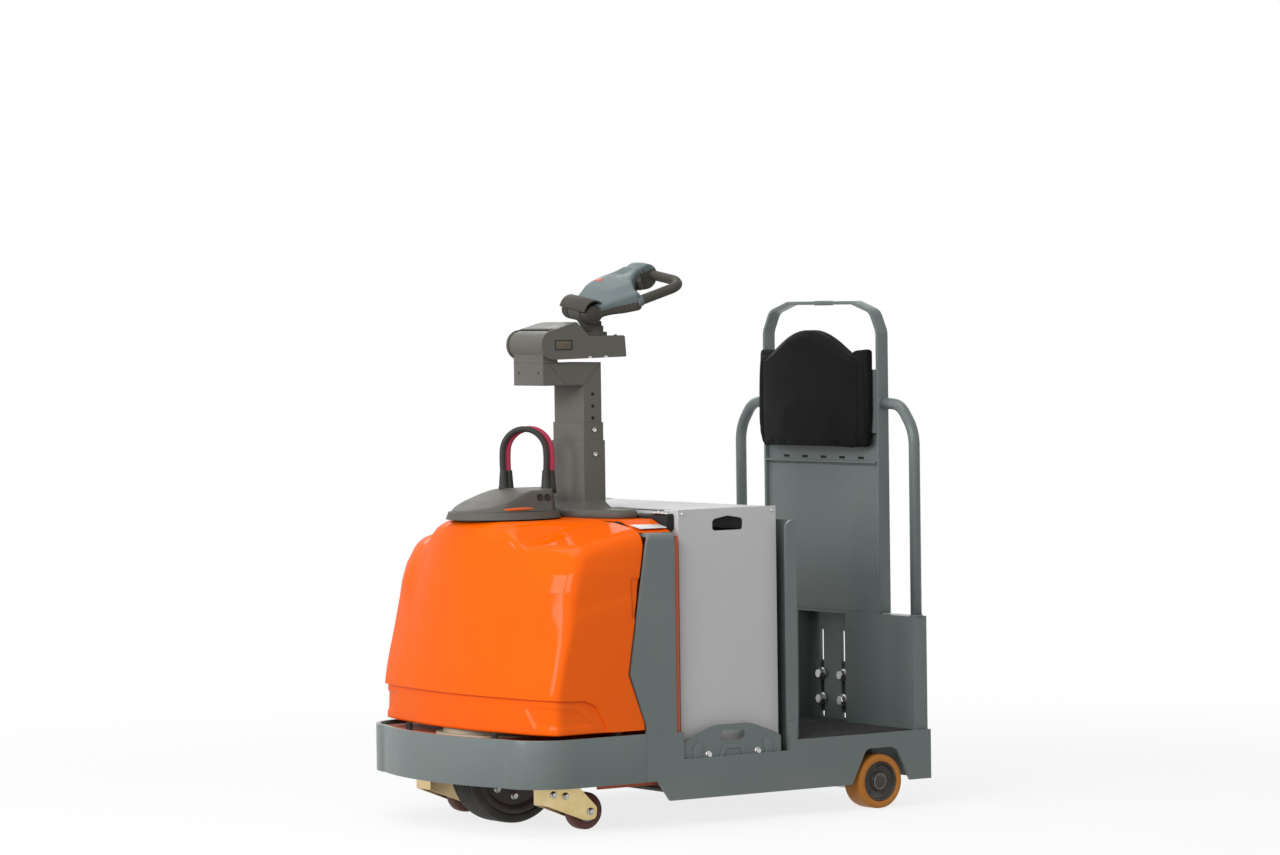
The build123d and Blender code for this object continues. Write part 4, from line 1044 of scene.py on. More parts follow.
def makePad():
    p = padForm
    front = slab("padFront", padOutline(), crossPlace(p["back"] - 1, p["front"] - 6), bevel=9, segments=4)
    wing = slab("padWing", roundCorners(p["wing"], 8), crossPlace(p["back"] - 4, p["wingFront"]), bevel=5, segments=3)
    mesh = merged("riderPad", [front, wing])
    made = settle("riderPad", mesh, "pad_black", node="backrest_pad")
    remesh = made.modifiers.new("voxels", "REMESH")
    remesh.mode = "VOXEL"
    remesh.voxel_size = p["voxel"]
    bake(made)
    inflate(made, p["pressure"], p["cap"])
    shapePad(made)
    smooth = made.modifiers.new("smooth", "SUBSURF")
    smooth.levels = smooth.render_levels = 1
    bake(made)
    for polygon in made.data.polygons:
        polygon.use_smooth = True
    if not made.data.materials:
        made.data.materials.append(finishes["pad_black"].material)


def bake(made):
    # the evaluated shape becomes the mesh, and no modifier is left
    graph = bpy.context.evaluated_depsgraph_get()
    mesh = bpy.data.meshes.new_from_object(made.evaluated_get(graph), depsgraph=graph)
    made.modifiers.clear()
    old = made.data
    made.data = mesh
    mesh.name = made.name
    bpy.data.meshes.remove(old)


def vertexRows(made):
    # the vertices of a piece as rows of x, y and z in metres
    co = np.empty(len(made.data.vertices) * 3)
    made.data.vertices.foreach_get("co", co)
    return co.reshape(-1, 3)


def inflate(made, pressure, cap):
    # a few frames of cloth under pressure; no vertex moves further than the cap
    before = vertexRows(made)
    scene = bpy.context.scene
    cloth = made.modifiers.new("swell", "CLOTH")
    cloth.settings.use_pressure = True
    cloth.settings.uniform_pressure_force = pressure
    cloth.settings.effector_weights.gravity = 0
    cloth.settings.quality = 4
    cloth.point_cache.frame_start = 1
    cloth.point_cache.frame_end = padForm["frames"]
    for step in range(1, padForm["frames"] + 1):
        scene.frame_set(step)
    graph = bpy.context.evaluated_depsgraph_get()
    swollen = made.evaluated_get(graph).to_mesh()
    after = np.array([v.co for v in swollen.vertices])
    made.evaluated_get(graph).to_mesh_clear()
    made.modifiers.clear()
    scene.frame_set(1)
    move = after - before
    size = np.maximum(np.linalg.norm(move, axis=1, keepdims=True), 1e-9)
    moved = before + move * np.minimum(1, cap / size)
    low, high = (np.array(at(*corner)) for corner in padForm["limits"])
    moved = np.clip(moved, low, high)
    made.data.vertices.foreach_set("co", moved.ravel())
    made.data.update()


def shapePad(made):
    # shallow dish between the side bolsters, a lumbar swell, and the moulded seam round the front
    p = padForm
    co = vertexRows(made)
    x, y, z = co[:, 0] / mm + originX, co[:, 1] / mm, co[:, 2] / mm
    facing = ease(x, 84, 98)
    dish = p["dish"] * (1 - (np.clip(np.abs(y), 0, 185) / 185) ** 2) * ease(z, 1090, 1180) * (1 - ease(z, 1270, 1320))
    dish = dish + p["bolster"] * (np.clip(np.abs(y), 30, 226) - 30) ** 2 / 196**2
    depth, middle, spread = p["swell"]
    swell = depth * np.exp(-(((z - middle) / spread) ** 2)) * (1 - (np.clip(np.abs(y), 0, 215) / 215) ** 2)
    co[:, 0] += (swell - dish) * facing * mm
    depth, middle, spread = p["seam"]
    seam = np.exp(-(((x - middle) / spread) ** 2)) * depth
    away = np.stack((x * 0, y / 226, (z - p["middleZ"]) / 165), axis=1)
    away /= np.maximum(np.linalg.norm(away, axis=1, keepdims=True), 1e-6)
    outer = ease(np.maximum(np.abs(y) / 205, np.abs(z - p["middleZ"]) / 140), 0.97, 1.03)
    co -= away * (seam * outer * mm)[:, None]
    co[:, 0] = np.minimum(co[:, 0], at(p["foremost"], 0, 0).x)
    made.data.vertices.foreach_set("co", co.ravel())
    made.data.update()


# Handle

handleForm = {
    "hub": (870.0, 0.0, 1402.0),
    "pitch": math.radians(18.0),
    "cant": math.radians(10.0),
    "outline": (
        # run along the handle, offset to its left, corner radius
        (4, 57, 10), (60, 74, 60), (118, 108, 14), (132, 104, 8), (133, 84, 10), (150, 52, 34), (176, 12, 30),
        (222, -30, 26), (258, -46, 10), (300, -50, 16), (300, -110, 24), (262, -116, 20), (190, -112, 70),
        (112, -100, 60), (50, -72, 60), (4, -57, 10),
    ),
    "shell": (-19.0, 48.0),  # its underside and its height
    "drum": ((-36, 0), (-36, 33), (-33, 36.5), (33, 36.5), (36, 33), (36, 0)),
    "knuckle": ((-15, 0), (-15, 29), (-13.5, 30.5), (13.5, 30.5), (15, 29), (15, 0)),
    "hubRoom": 37.5,
    "voxel": 0.0026,
    "plates": (
        # name, outline, underside, top, bevel, finish and slot
        ("handleDeck", ((86, -66, 12), (86, -22, 12), (142, -14, 16), (196, -30, 10), (196, -88, 14), (140, -92, 16)),
         24, 32.6, 2.0, "handle_shell", "handle_shell"),
        ("handleSwitchBase", ((108, -88, 5), (108, -56, 5), (140, -52, 5), (140, -90, 5)),
         26, 34.4, 1.2, "grip_black", "grip_black"),
        ("handleSwitch", ((116, -82, 4), (116, -64, 4), (133, -62, 4), (133, -83, 4)),
         30, 37.6, 2.0, "button", "grip_black"),
        ("handleLabel", ((166, -54, 3), (166, -34, 3), (184, -34, 3), (184, -54, 3)),
         28, 33.4, 0.3, "label", "handle_shell"),
        ("handleWell", ((206, -60, 8), (206, 6, 20), (222, -8, 8), (244, -40, 8), (244, -100, 10), (224, -104, 10)),
         -12, 15.0, 2.5, "grip_black", "grip_black"),
    ),
    "pin": ((0, 0), (0, 3.4), (1.2, 3.4), (1.6, 2.4), (0.6, 1.8), (0.6, 0)),
    "thumb": ((-6, 0), (-6, 11.5), (-4.6, 13.4), (4.6, 13.4), (6, 11.5), (6, 0)),
    "thumbRibs": 18,
    "collar": ((-9, 0), (-9, 15.2), (-7, 16.6), (7, 16.6), (9, 15.4), (9, 0)),
    "shroud": (37.5, 33.2, -0.25, 2.72),  # outer and inner radius, first and last turn
    "cap": ((0, 0), (0, 20), (1.2, 20), (2.2, 18), (1.4, 9), (2.0, 7), (2.0, 0)),
}


def handleAxes():
    h = handleForm
    along = Vector((-math.cos(h["pitch"]), 0, math.sin(h["pitch"])))
    up = Vector((math.sin(h["pitch"]), 0, math.cos(h["pitch"])))
    left = Vector((0, 1, 0))
    across = left * math.cos(h["cant"]) - up * math.sin(h["cant"])
    normal = up * math.cos(h["cant"]) + left * math.sin(h["cant"])
    return along, across, normal


def onHandle(u, w, n):
    # a point u along the handle, w to its left and n out of its top
    along, across, normal = handleAxes()
    return tuple(Vector(handleForm["hub"]) + along * u + across * w + normal * n)


def handleLocal(made):
    # its vertices as u, w and n in millimetres, and the handle's axes
    axes = np.array([tuple(v) for v in handleAxes()])
    away = vertexRows(made) / mm + np.array((originX, 0, 0)) - np.array(handleForm["hub"])
    return away @ axes.T, axes


def makeHandle():
    h = handleForm
    across = handleAxes()[1]
    low, height = h["shell"]
    place = lambda u, w, level: onHandle(u, w, low + height * level)
    parts = [slab("shell", roundCorners(h["outline"], 8), place, bevel=9, segments=4)]
    parts.append(spun("drum", h["drum"], onHandle(272, -81, 0), across, 48))
    for side in (-1, 1):
        parts.append(spun("knuckle", h["knuckle"], onHandle(0, side * 42.5, 0), across, 48))
    mesh = merged("handleShell", parts)
    made = settle("handleShell", mesh, "handle_shell", "handle", node="handle_head")
    remesh = made.modifiers.new("voxels", "REMESH")
    remesh.mode = "VOXEL"
    remesh.voxel_size = h["voxel"]
    relax = made.modifiers.new("relax", "SMOOTH")
    relax.factor = 0.5
    relax.iterations = 7
    bake(made)
    local, axes = handleLocal(made)
    u, w, n = local.T
    top = ease(n, 8, 20)
    # the top falls toward the hub and to both sides, and dips behind the palm rest
    n = n * (1 + 0.26 * ease(u, 34, 90) * (1 - ease(u, 238, 262)))
    fall = 9 * (1 - ease(u, 10, 120)) + 7 * ease(np.abs(w + 20), 50, 110)
    dip = 10 * np.exp(-(((u - 205) / 26) ** 2) - (((w + 72) / 30) ** 2))
    # a parting line round the shell
    part = np.exp(-(((n - 2.0) / 1.3) ** 2)) * 1.3 * ease(u, 28, 40)
    away = np.stack((u - 150, w), axis=1)
    away /= np.maximum(np.linalg.norm(away, axis=1, keepdims=True), 1e-6)
    shaped = np.stack((u - away[:, 0] * part, w - away[:, 1] * part, n - (fall + dip) * top), axis=1)
    # room for the hub between the two knuckles
    inHub = (np.hypot(u, n) < h["hubRoom"]) & (np.abs(w) < 26.6)
    reach = np.maximum(np.hypot(shaped[:, 0], shaped[:, 2]), 1e-6)
    for axis in (0, 2):
        shaped[inHub, axis] *= h["hubRoom"] / reach[inHub]
    co = (shaped @ axes + np.array(h["hub"]) - np.array((originX, 0, 0))) * mm
    made.data.vertices.foreach_set("co", co.ravel())
    made.data.update()
    made.data.materials.clear()
    for key in ("handle_shell", "grip_black"):
        made.data.materials.append(finishes[key].material)
    for polygon in made.data.polygons:
        polygon.use_smooth = True
        cu, _, cn = local[list(polygon.vertices)].mean(axis=0)
        byHub = math.hypot(cu, cn) < 33.5 and cu < 20
        byDrum = cu > 240 and math.hypot(cu - 272, cn) < 39 and cn < 16
        dark = cn < 2.0 or byHub or byDrum
        polygon.material_index = 1 if dark else 0
    dressHandle()


def dressHandle():
    h = handleForm
    along, across, normal = handleAxes()
    for name, outline, low, high, bevel, finish, slot in h["plates"]:
        place = lambda u, w, level: onHandle(u, w, low + (high - low) * level)
        mesh = slab(name, roundCorners(outline, 5), place, bevel=bevel)
        settle(name, mesh, finish, "handle")
    # two near-black dished marks on the deck, painted as the shade in two small openings
    for index, w in enumerate((-54, -80)):
        mesh = spun(f"handlePin{index}", h["pin"], onHandle(98, w, 32.2), normal, 20)
        settle(f"handlePin{index}", mesh, "dark", "handle")
    # thumb wheel with ribs, on the inner end of the drum
    parts = [spun("thumbCore", h["thumb"], onHandle(253, -51, 16), across, 40)]
    for k in range(h["thumbRibs"]):
        turn = 2 * math.pi * k / h["thumbRibs"]
        u, n = 253 + 13.2 * math.cos(turn), 16 + 13.2 * math.sin(turn)
        parts.append(tubeAlong("rib", [onHandle(u, w, n) for w in (-55.4, -51, -46.6)], [0.5, 0.8, 0.5], 6))
    mesh = merged("thumbWheel", parts)
    settle("thumbWheel", mesh, "grip_black", "handle", node="thumb_control")
    # the collar at the loop's outer end
    mesh = spun("loopCollar", h["collar"], onHandle(128, 95, 0), along, 36)
    settle("loopCollar", mesh, "handle_shell", "handle")
    # the shroud over the hub's top and front, clear of the yoke's neck at both ends of the tilt
    outer, inner, first, last = h["shroud"]
    arc = [(outer * math.cos(t), outer * math.sin(t)) for t in np.linspace(first, last, 34)]
    arc += [(inner * math.cos(t), inner * math.sin(t)) for t in np.linspace(last, first, 34)]
    mesh = slab("hubShroud", arc, lambda u, n, level: onHandle(u, -56.5 + 113 * level, n), bevel=1.4)
    settle("hubShroud", mesh, "grip_black", "handle")
    for side in (-1, 1):
        mesh = spun(f"hubCap{side + 1}", h["cap"], onHandle(0, side * 57.4, 0), across * side, 40)
        settle(f"hubCap{side + 1}", mesh, "grip_black", "handle")

# Wheels

wheelForm = {
    # profiles run outward along the axle: along and radius
    "rear": (177, 359, 76.2),  # the inner face of the left one
    "rearTyre": (
        (0.4, 57), (0.4, 69), (1.6, 71.4), (5, 75.0), (12, 76.0), (37.5, 76.1), (63, 76.0), (70, 75.0), (73.4, 71.4),
        (74.6, 68), (74.2, 62), (73.2, 60.5), (73.0, 56.2), (60, 55.3), (12, 55.3), (0.4, 57),
    ),
    "rearHub": (
        (2, 18), (2, 26), (5, 30), (16, 31), (20, 44), (6, 49), (6, 54.5), (8, 55.0), (71, 55.0), (72.6, 54.2),
        (72.6, 50.6), (71, 49.4), (62.5, 47.5), (60.4, 44), (59.8, 34), (61, 29.5), (66, 27), (68.4, 25.6),
        (68.4, 22.4), (66.5, 21.8), (66, 17.2), (2, 18),
    ),
    "rearCap": ((0, 0), (0, 16.4), (5, 16.4), (5.2, 20), (7.2, 20), (8.0, 19), (8.6, 13), (9.4, 12.2), (10.0, 0)),
    "caster": (1091, 294, 51),  # the left roller's centre
    "casterTread": (
        (-20, 32), (-20, 45.6), (-18.6, 48.4), (-14, 50.4), (0, 50.9), (14, 50.4), (18.6, 48.4), (20, 45.6), (20, 32),
        (18.4, 30.4), (-18.4, 30.4), (-20, 32),
    ),
    "casterCore": (
        (-19.6, 7.4), (-19.6, 13), (-17, 15), (-16.6, 28), (-18.6, 31), (18.6, 31), (16.6, 28), (17, 15),
        (19.6, 13), (19.6, 7.4), (-19.6, 7.4),
    ),
    "cheek": 36.2,  # from the roller's middle to the fork's outer face
    "drive": (1145, 0, 152.4),
    "driveShoulder": ((54.6, 130), (55, 134), (54, 143), (50, 149.4), (44, 151.6), (41, 151.8)),
    "driveRim": (
        (-50, 22.4), (-50, 58), (-46, 62), (-44, 100), (-48, 108), (-51, 112), (-51.6, 126), (-50, 128.2),
        (50, 128.2), (51.6, 126), (51, 112), (47, 107), (40.6, 102), (38.6, 60), (40.4, 42), (41, 22.4), (-50, 22.4),
    ),
    "driveDot": ((0, 0), (0, 9), (0.7, 8.6), (0.7, 0)),
}


def ring(name, profile, centre, axis, body, slot, node=None, steps=96, finish=None):
    mesh = spun(name, profile, centre, axis, steps)
    mesh.set_sharp_from_angle(angle=0.7)
    return settle(name, mesh, finish or slot, body, node)


def circled(centre, y, radius, count, start=0.0):
    # places at y round an axle
    turns = [2 * math.pi * k / count + start for k in range(count)]
    return [(centre[0] + radius * math.cos(t), y, centre[2] + radius * math.sin(t)) for t in turns]


def bothFaces(half, spots, y=0):
    # fasteners at x and z on the two faces that stand half away from y, each facing outward
    return [((x, y + side * half, z), (0, side, 0)) for side in (-1, 1) for x, z in spots]


def makeWheels():
    w = wheelForm
    for side, word in ((1, "left"), (-1, "right")):
        out, body = (0, side, 0), f"rear_wheel_{word}"
        x, y, z = w["rear"]
        inner = (x, side * y, z)
        ring(f"rearTread_{word}", w["rearTyre"], inner, out, body, "tyre_poly", f"rear_tyre_{word}", 128)
        ring(f"rearRim_{word}", w["rearHub"], inner, out, body, "hub_black", f"rear_hub_{word}")
        ring(f"rearCap_{word}", w["rearCap"], (x, side * 424, z), out, "chassis", "hub_black", None, 48)
        holes = [(place, out) for place in circled(inner, side * 419.2, 39, 5, 0.4)]
        fasten(f"rearRimBolts_{word}", "darkButton", body, holes, 0.9)
        x, y, z = w["caster"]
        centre, body = (x, side * y, z), f"caster_roller_{word}"
        node = f"caster_wheel_{word}"
        ring(f"casterTread_{word}", w["casterTread"], centre, (0, 1, 0), body, "caster_red", node)
        ring(f"casterCore_{word}", w["casterCore"], centre, (0, 1, 0), body, "axle_steel", None, 64)
        ends = bothFaces(w["cheek"], ((1091, 51),), side * y)
        fasten(f"casterAxleNuts_{word}", "hex", f"caster_{word}", ends, scale=0.82)
        cheeks = bothFaces(w["cheek"], ((1211, 104), (1172, 98)), side * y)
        fasten(f"casterCheekNuts_{word}", "hex", f"caster_{word}", cheeks, scale=0.78)
    # the drive wheel's tread, with five grooves round it
    tyre = [(-along, radius) for along, radius in w["driveShoulder"]]
    for y in range(-32, 33, 16):
        tyre += [(y - 2.2, 152.2), (y - 1.2, 148.6), (y + 1.2, 148.6), (y + 2.2, 152.2)]
    tyre += [*w["driveShoulder"][::-1], (52, 128.6), (-52, 128.6), tyre[0]]
    centre, out = w["drive"], (0, 1, 0)
    ring("driveTread", tyre, centre, out, "drive_wheel", "drive_black", "drive_tyre", 160)
    ring("driveRim", w["driveRim"], centre, out, "drive_wheel", "rim_black", "drive_rim", 128)
    fasten("driveRimBolts", "hex", "drive_wheel", [(place, out) for place in circled(centre, 39.4, 78, 8)], scale=0.9)
    spot = (centre[0] + 96, 53.8, centre[2] + 98)
    ring("driveDot", w["driveDot"], spot, (0, 1, 0.12), "drive_wheel", "drive_black", None, 24, "stripe")


# Bent bar, rails and sheet metal

steelForm = {
    "bar": ((272, 531, 0), (272, 1332, 50), (240, 1392, 44), (152, 1418, 34), (-152, 1418, 34), (-240, 1392, 44),
            (-272, 1332, 50), (-272, 531, 0)),
    "barThick": 10.0,
    "barX": (7.0, 45.0),
    # the handrail's path in y and z, each with its corner radius
    "rail": ((272, 1128, 0), (350, 1124, 70), (410, 1050, 110), (410, 530, 0)),
    "railX": 26.0,
    "railRadius": 15.9,
    "slots": (-176, -88, 0, 88, 176),
    "joint": ((-20, 1406, 2), (20, 1406, 2), (20, 1419.4, 2), (-20, 1419.4, 2)),
}


def barOutline():
    outer = roundCorners(steelForm["bar"], 12)
    thick = steelForm["barThick"]
    inner = []
    count = len(outer)
    for k, (y, z) in enumerate(outer):
        before, after = Vector(outer[max(k - 1, 0)]), Vector(outer[min(k + 1, count - 1)])
        run = (after - before).normalized()
        inner.append((y - run.y * thick, z + run.x * thick))
    if abs(inner[count // 4][0]) > abs(outer[count // 4][0]):
        inner = [(2 * y - iy, 2 * z - iz) for (y, z), (iy, iz) in zip(outer, inner)]
    return outer + inner[::-1]


def makeSteel():
    s = steelForm
    mesh = slab("backrestBar", barOutline(), crossPlace(*s["barX"]), bevel=1.6)
    settle("backrestBar", mesh, "steel_grey", node="backrest_frame")
    x = s["railX"]
    round17 = [(17 * math.cos(t), 17 * math.sin(t)) for t in np.linspace(0, 2 * math.pi, 33)]
    parts = []
    for side in (-1, 1):
        path = [(x, side * y, z) for y, z in roundCorners(s["rail"], 14)]
        parts.append(tubeAlong("rail", path, s["railRadius"], 28))
        bead = [(x + u, side * 273.5, 1128 + v) for u, v in round17]
        parts.append(tubeAlong("bead", bead, [2.2 + 0.5 * math.sin(k * 2.6) for k in range(33)], 8))
        foot = [(x + u, side * (410 + v), 531.5) for u, v in round17]
        parts.append(tubeAlong("bead", foot, 2.4, 8))
    mesh = merged("grabRails", parts)
    settle("grabRails", mesh, "steel_grey", node="handrails")
    # the panel's upper sheet with its slots, its turned-in rim, and the bar's joint
    slots = [[(y - 14, 967), (y + 14, 967), (y + 14, 974), (y - 14, 974)] for y in s["slots"]]
    parts = [slab("panelHead", [(-261, 960), (261, 960), (261, 1060), (-261, 1060)], crossPlace(31, 34), inner=slots)]
    for y0, z0, y1, z1 in ((-252, 540, -252, 950), (252, 540, 252, 950), (-252, 950, 252, 950)):
        path = [(35.2, y0, z0), (35.2, (y0 + y1) / 2, (z0 + z1) / 2), (35.2, y1, z1)]
        parts.append(tubeAlong("rim", path, 1.6, 8))
    parts.append(slab("joint", roundCorners(s["joint"], 3), crossPlace(6.2, 45.8), bevel=1.0))
    settle("panelDress", merged("panelDress", parts), "steel_grey")
    # near-black boxes in the slots: painted shade where the slots look into the box behind
    shadeBoxes = [slab("slotBack", rows, crossPlace(31.6, 33.0)) for rows in slots]
    settle("slotBacks", merged("slotBacks", shadeBoxes), "dark")
    makeBumper()


bumperForm = {
    "half": 437.0,
    "front": 1400.0,
    "rear": 976.0,
    "corner": 138.0,
    "bow": 48.0,  # how far the nose stands ahead of the corners
    "thick": 12.0,
    "low": 129.0,
    "height": 131.0,
}


def bumperArc(inset):
    # plan of the bumper's face from its left end round the nose to its right end
    b = bumperForm
    side, front, radius = b["half"] - inset, b["front"] - inset, b["corner"] - inset
    cx, cy = b["front"] - b["bow"] - b["corner"], b["half"] - b["corner"]
    rows = [(b["rear"] + (cx - b["rear"]) * k / 6, side) for k in range(6)]
    rows += [(cx + radius * math.sin(t), cy + radius * math.cos(t)) for t in np.linspace(0, math.pi / 2, 28)]
    big = (cy * cy + b["bow"] ** 2) / (2 * b["bow"])
    middle = front - big
    for t in np.linspace(math.asin(cy / big), 0, 20)[1:]:
        rows.append((middle + big * math.cos(t), big * math.sin(t)))
    return rows + [(x, -y) for x, y in rows[-2::-1]]


def makeBumper():
    b = bumperForm
    outline = bumperArc(0) + bumperArc(b["thick"])[::-1]
    mesh = slab("bumperBand", outline, lambda x, y, level: (x, y, b["low"] + b["height"] * level), bevel=1.4)
    settle("bumperBand", mesh, "steel_grey", node="front_bumper")


# Column and arm trim

columnForm = {
    "side": 72.1,
    "beads": (((974, 1197.5), (1036, 1258.5)), ((918, 1197.5), (859.5, 1258.5))),  # in x and z, on both sides
    "headBead": (1003, 1052, 72, 1259.4),  # its two x, y and z
    "holes": (888, 72.2, (1171, 1138, 1105)),  # x, y and heights
    "bolts": (888, ((75.2, 1072), (78.2, 1005))),  # x, then y and z of each
    "screws": ((1052.2, -48, 1232), (1052.2, 48, 1232)),
}
armForm = {
    # name, outline, where it starts, how far it stands out, bevel and finish
    "sides": (
        ("armInsert", ((1018, 1297, 2), (1018, 1319, 2), (968, 1319, 2), (968, 1297, 2)), 87.6, 1.6, 0.5, "insert"),
        ("armSlot", ((1022, 1294, 3), (1022, 1322, 3), (964, 1322, 3), (964, 1294, 3)), 87.2, 1.2, 0.2, "dark"),
    ),
    "notches": (905, 852),
    "screws": tuple((x, y, 1332.2) for x in (800, 890) for y in (-60, 60)),
}


def weld(path, radius=2.4, steps=8):
    # a bead with ripples along a straight or bent path
    points = []
    for first, second in zip(path, path[1:]):
        first, second = Vector(first), Vector(second)
        count = max(int((second - first).length / 3.2), 2)
        points += [first + (second - first) * k / count for k in range(count)]
    points.append(Vector(path[-1]))
    radii = [radius * (1 + 0.22 * math.sin(k * 2.1) + 0.1 * math.sin(k * 0.7)) for k in range(len(points))]
    return tubeAlong("weld", points, radii, steps)


def sidePlace(side, start, out):
    # x and z as given, y on one side from start outward
    return lambda x, z, level: (x, side * (start + out * level), z)


def makeColumnTrim():
    c = columnForm
    beads = []
    for y in (-c["side"], c["side"]):
        for (x0, z0), (x1, z1) in c["beads"]:
            beads.append(weld([(x0, y, z0), (x1, y, z1)], 0.9))
    rear, front, half, z = c["headBead"]
    beads += [weld([(rear, y, z), (front, y, z)], 1.6) for y in (half, -half)]
    settle("columnWelds", merged("columnWelds", beads), "column_grey")
    # near-black discs painted as the shade inside the column's holes
    x, half, heights = c["holes"]
    holes = [((x, side * half, z), (0, side, 0)) for z in heights for side in (-1, 1)]
    fasten("columnHoles", "hole", "chassis", holes, 0.75)
    x, spots = c["bolts"]
    bolts = [((x, side * y, z), (0, side, 0)) for y, z in spots for side in (-1, 1)]
    fasten("columnBolts", "socket", "chassis", bolts, 0.72)
    fasten("headScrews", "darkButton", "chassis", [(place, (1, 0, 0)) for place in c["screws"]], 0.6)
    # arm: an insert in a slot on each cheek, the slot a near-black plate painted as the shade round the insert, and
    # notches under it
    for side in (-1, 1):
        for name, outline, start, out, bevel, finish in armForm["sides"]:
            mesh = slab(name, roundCorners(outline, 4), sidePlace(side, start, out), bevel=bevel)
            settle(f"{name}{side + 1}", mesh, finish, "arm")
        for k, x in enumerate(armForm["notches"]):
            low = 1268 + (1273 - 1268) * (1025 - x) / 242
            outline = ((x - 6, low + 0.4, 1), (x - 6, low + 5, 2), (x + 6, low + 5, 2), (x + 6, low + 0.4, 1))
            mesh = slab("armNotch", roundCorners(outline, 3), sidePlace(side, 87.4, 1.0))
            settle(f"armNotch{side + 1}{k}", mesh, "label", "arm")
    lidScrews = [(place, (0, 0, 1)) for place in armForm["screws"]]
    fasten("armLidScrews", "darkButton", "arm", lidScrews, 0.8)


footForm = {
    "plan": (
        (856, 250, 22), (856, -250, 22), (926, -250, 46), (975, -98, 60), (975, 98, 60), (926, 250, 46),
    ),
    "centre": (905, 0),
    "low": 832.3,
    "least": 834.0,
    "top": 856.0,
    "hill": (25.0, 46.0),  # its height, and how far it reaches from the column
    "lip": 16.0,
    "rings": 44,
    "label": ((866, 300, 4), (866, 388, 4), (958, 388, 4), (958, 330, 4)),
}


def footHeight(x, y):
    # the hill rises to the column from the front and the sides
    dx = max(853.0 - x, x - 924.0, 0)
    dy = max(abs(y) - 78.0, 0)
    height, reach = footForm["hill"]
    return footForm["top"] + height * max(1 - math.hypot(dx, dy) / reach, 0) ** 1.25


def makeFoot():
    f = footForm
    plan = roundCorners(f["plan"], 12)
    dense = []
    for k, here in enumerate(plan):
        after = Vector(plan[(k + 1) % len(plan)])
        here = Vector(here)
        count = max(int((after - here).length / 7), 1)
        dense += [here + (after - here) * j / count for j in range(count)]
    centre = Vector(f["centre"])
    rings, lip = f["rings"], f["lip"]
    points = [(p.x, p.y, f["low"]) for p in dense]
    for k in range(rings + 1):
        reach = 1 - (k / rings) ** 1.35
        for p in dense:
            spot = centre + (p - centre) * reach
            near = min((p - spot).length, lip)
            drop = lip - math.sqrt(max(lip**2 - (lip - near) ** 2, 0))
            points.append((spot.x, spot.y, max(footHeight(spot.x, spot.y) - drop * 0.9, f["least"])))
    faces = gridFaces(rings + 2, len(dense), closed=True)
    faces.append(tuple(range(len(dense))))
    mesh = meshOf("columnCover", points, faces, weld=0.05)
    settle("columnCover", mesh, "cover_grey", node="column_foot")
    mesh = slab("cowlLabel", roundCorners(f["label"], 4),
                lambda x, y, level: (x, y, 800 + cowlTop(y) + 0.8 * level), bevel=0.2)
    settle("cowlLabel", mesh, "label")


def cowlTop(y):
    # the cowl's height over 800 mm, falling to its sides
    return float(np.interp(abs(y), (293, 334, 381, 410), (27.0, 21.5, 13.5, 1.0)))


# Battery, gates, mat and hitch trim

trimForm = {
    "lugBlock": ((836, 806, 2), (861, 806, 2), (861, 842, 6), (836, 846, 4)),
    "lugPlate": ((834, 300, 2), (858, 300, 4), (858, 372, 4), (834, 372, 2)),
    "gateRibs": (
        ((548, 160, 3), (548, 214, 6), (566, 226, 6), (584, 226, 6), (570, 160, 3)),
        ((818, 160, 3), (818, 214, 6), (800, 226, 6), (782, 226, 6), (796, 160, 3)),
        ((628, 160, 3), (650, 214, 5), (716, 214, 5), (738, 160, 3), (722, 160, 3), (704, 202, 5), (662, 202, 5),
         (644, 160, 3)),
    ),
    "gateFoot": ((521, 150), (845, 150), (845, 157), (521, 157)),
    "mat": (58.0, 448.0, 417.0, 13.0),  # rear, front, half width and the ribs' step
    "ribFaces": ((0, 1, 5, 4), (1, 2, 6, 5), (2, 3, 7, 6), (3, 0, 4, 7), (3, 2, 1, 0), (4, 5, 6, 7)),
    "hitch": tuple((y, z) for y in (-50, 50) for z in (269, 342)),
    "seams": (
        # x, y, low, high and radius
        (976, 434.6, 131, 258, 1.8),
        (877, 434.6, 76, 210, 1.8),
        (10, 435.2, 76, 210, 1.2),
    ),
}


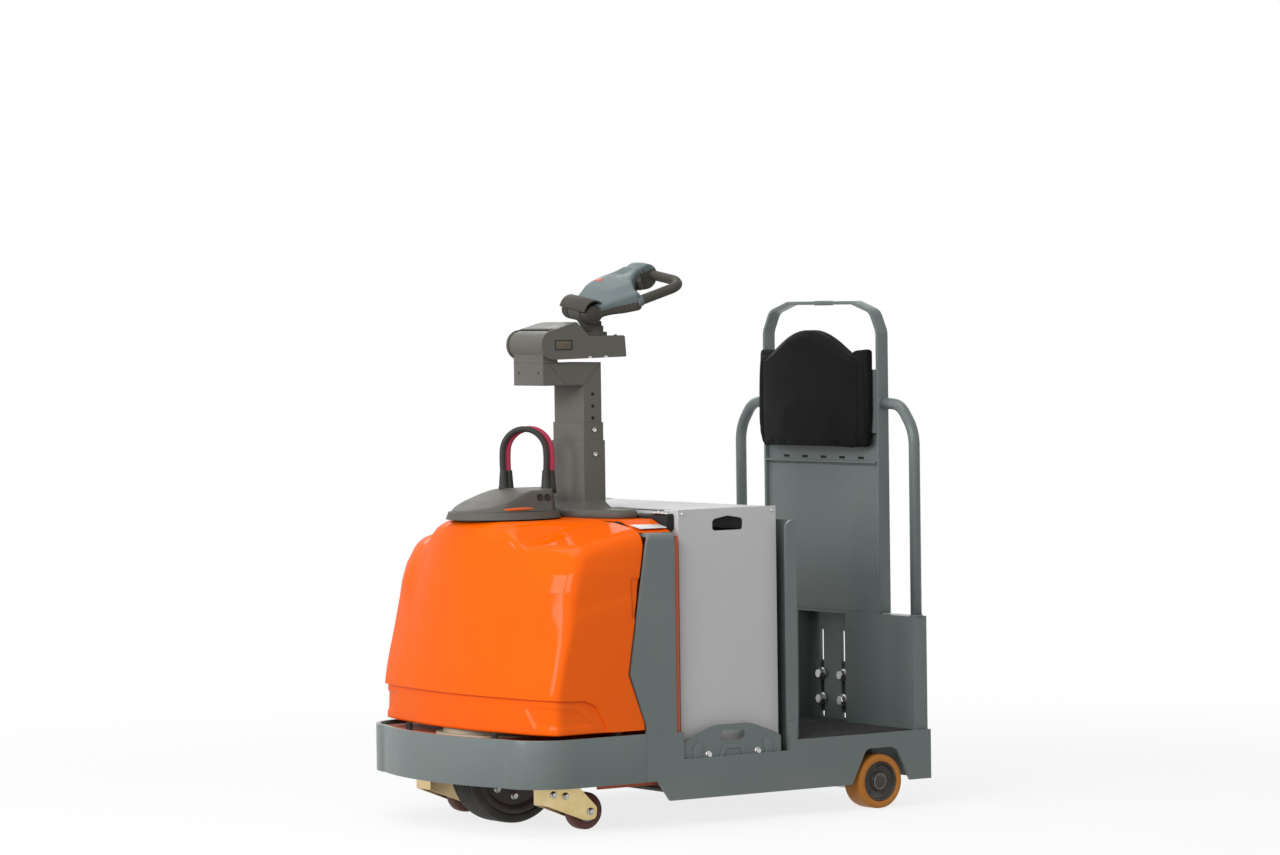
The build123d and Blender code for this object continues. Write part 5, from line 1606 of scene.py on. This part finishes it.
def makeTrim():
    t = trimForm
    # battery: corner screws of the end plates, the cable lugs in the gap ahead of the case, and a near-black block
    # there painted as the shade in that gap
    fasten("batteryScrews", "button", "chassis", bothFaces(397.2, ((822, 846), (518, 846))), 0.9)
    for side in (-1, 1):
        mesh = slab("lugBlock", roundCorners(t["lugBlock"], 3), sidePlace(side, 378, -150), bevel=1.0)
        settle(f"lugBlock{side + 1}", mesh, "dark")
        place = lambda x, y, level: (x, side * y, 846 + 3 * level)
        mesh = slab("lugPlate", roundCorners(t["lugPlate"], 3), place, bevel=0.6)
        settle(f"lugPlate{side + 1}", mesh, "bolt_zinc")
    lugs = [((846, side * y, 849), (0, 0, 1)) for side in (-1, 1) for y in (318, 354)]
    fasten("lugNuts", "hex", "chassis", lugs, scale=0.5)
    # gates: stamped ribs, a folded foot and two bolts each
    for side in (-1, 1):
        place = sidePlace(side, 426.6, 3.4)
        parts = [slab("rib", roundCorners(outline, 4), place, bevel=1.6) for outline in t["gateRibs"]]
        parts.append(slab("rib", t["gateFoot"], place, bevel=1.0))
        mesh = merged(f"gateRibs{side + 1}", parts)
        settle(f"gateRibs{side + 1}", mesh, "steel_grey")
    fasten("gateBolts", "hex", "chassis", bothFaces(427.2, ((600, 190), (766, 190))), scale=0.84)
    # the mat's slanting ribs
    rear, front, half, step = t["mat"]
    points, faces = [], []
    offset = -half
    while offset < half + front - rear:
        low = max(0.0, offset - half)
        high = min(front - rear, offset + half)
        if high - low > 8:
            base = len(points)
            for x, y in ((rear + low, offset - low), (rear + high, offset - high)):
                points += [(x - 2, y - 2, 212.6), (x + 2, y + 2, 212.6), (x + 1, y + 1, 214.6), (x - 1, y - 1, 214.6)]
            faces += [tuple(base + i for i in face) for face in t["ribFaces"]]
        offset += step
    mesh = meshOf("matRibs", points, faces, False)
    settle("matRibs", mesh, "mat_black")
    # hitch: heads ahead of the plate, nuts behind it
    made = fasten("hitchHeads", "hexBig", "chassis", [((10.2, y, z), (1, 0, 0)) for y, z in t["hitch"]], scale=1.05)
    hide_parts("hitch_bolts")
    fasten("hitchNuts", "hex", "chassis", [((-0.2, y, z), (-1, 0, 0)) for y, z in t["hitch"]], scale=1.1)
    # weld seams down the bumper's and the pillar's joints
    seams = []
    for side in (-1, 1):
        for x, y, low, high, radius in t["seams"]:
            seams.append(weld([(x, side * y, low), (x, side * y, high)], radius))
    settle("weldSeams", merged("weldSeams", seams), "steel_grey")


setCamera()
setStudio()
layCable("blackCable", "cable_black")
layCable("redCable", "cable_red")
print("camera, lamps and cables are in")
layFloor()
makeHood()
makePod()
makeFoot()
print("covers are in")
makePad()
print("pad is in")
makeHandle()
print("handle is in")
makeWheels()
print("wheels are in")
makeSteel()
makeColumnTrim()
makeTrim()
print("steelwork and trim are in")
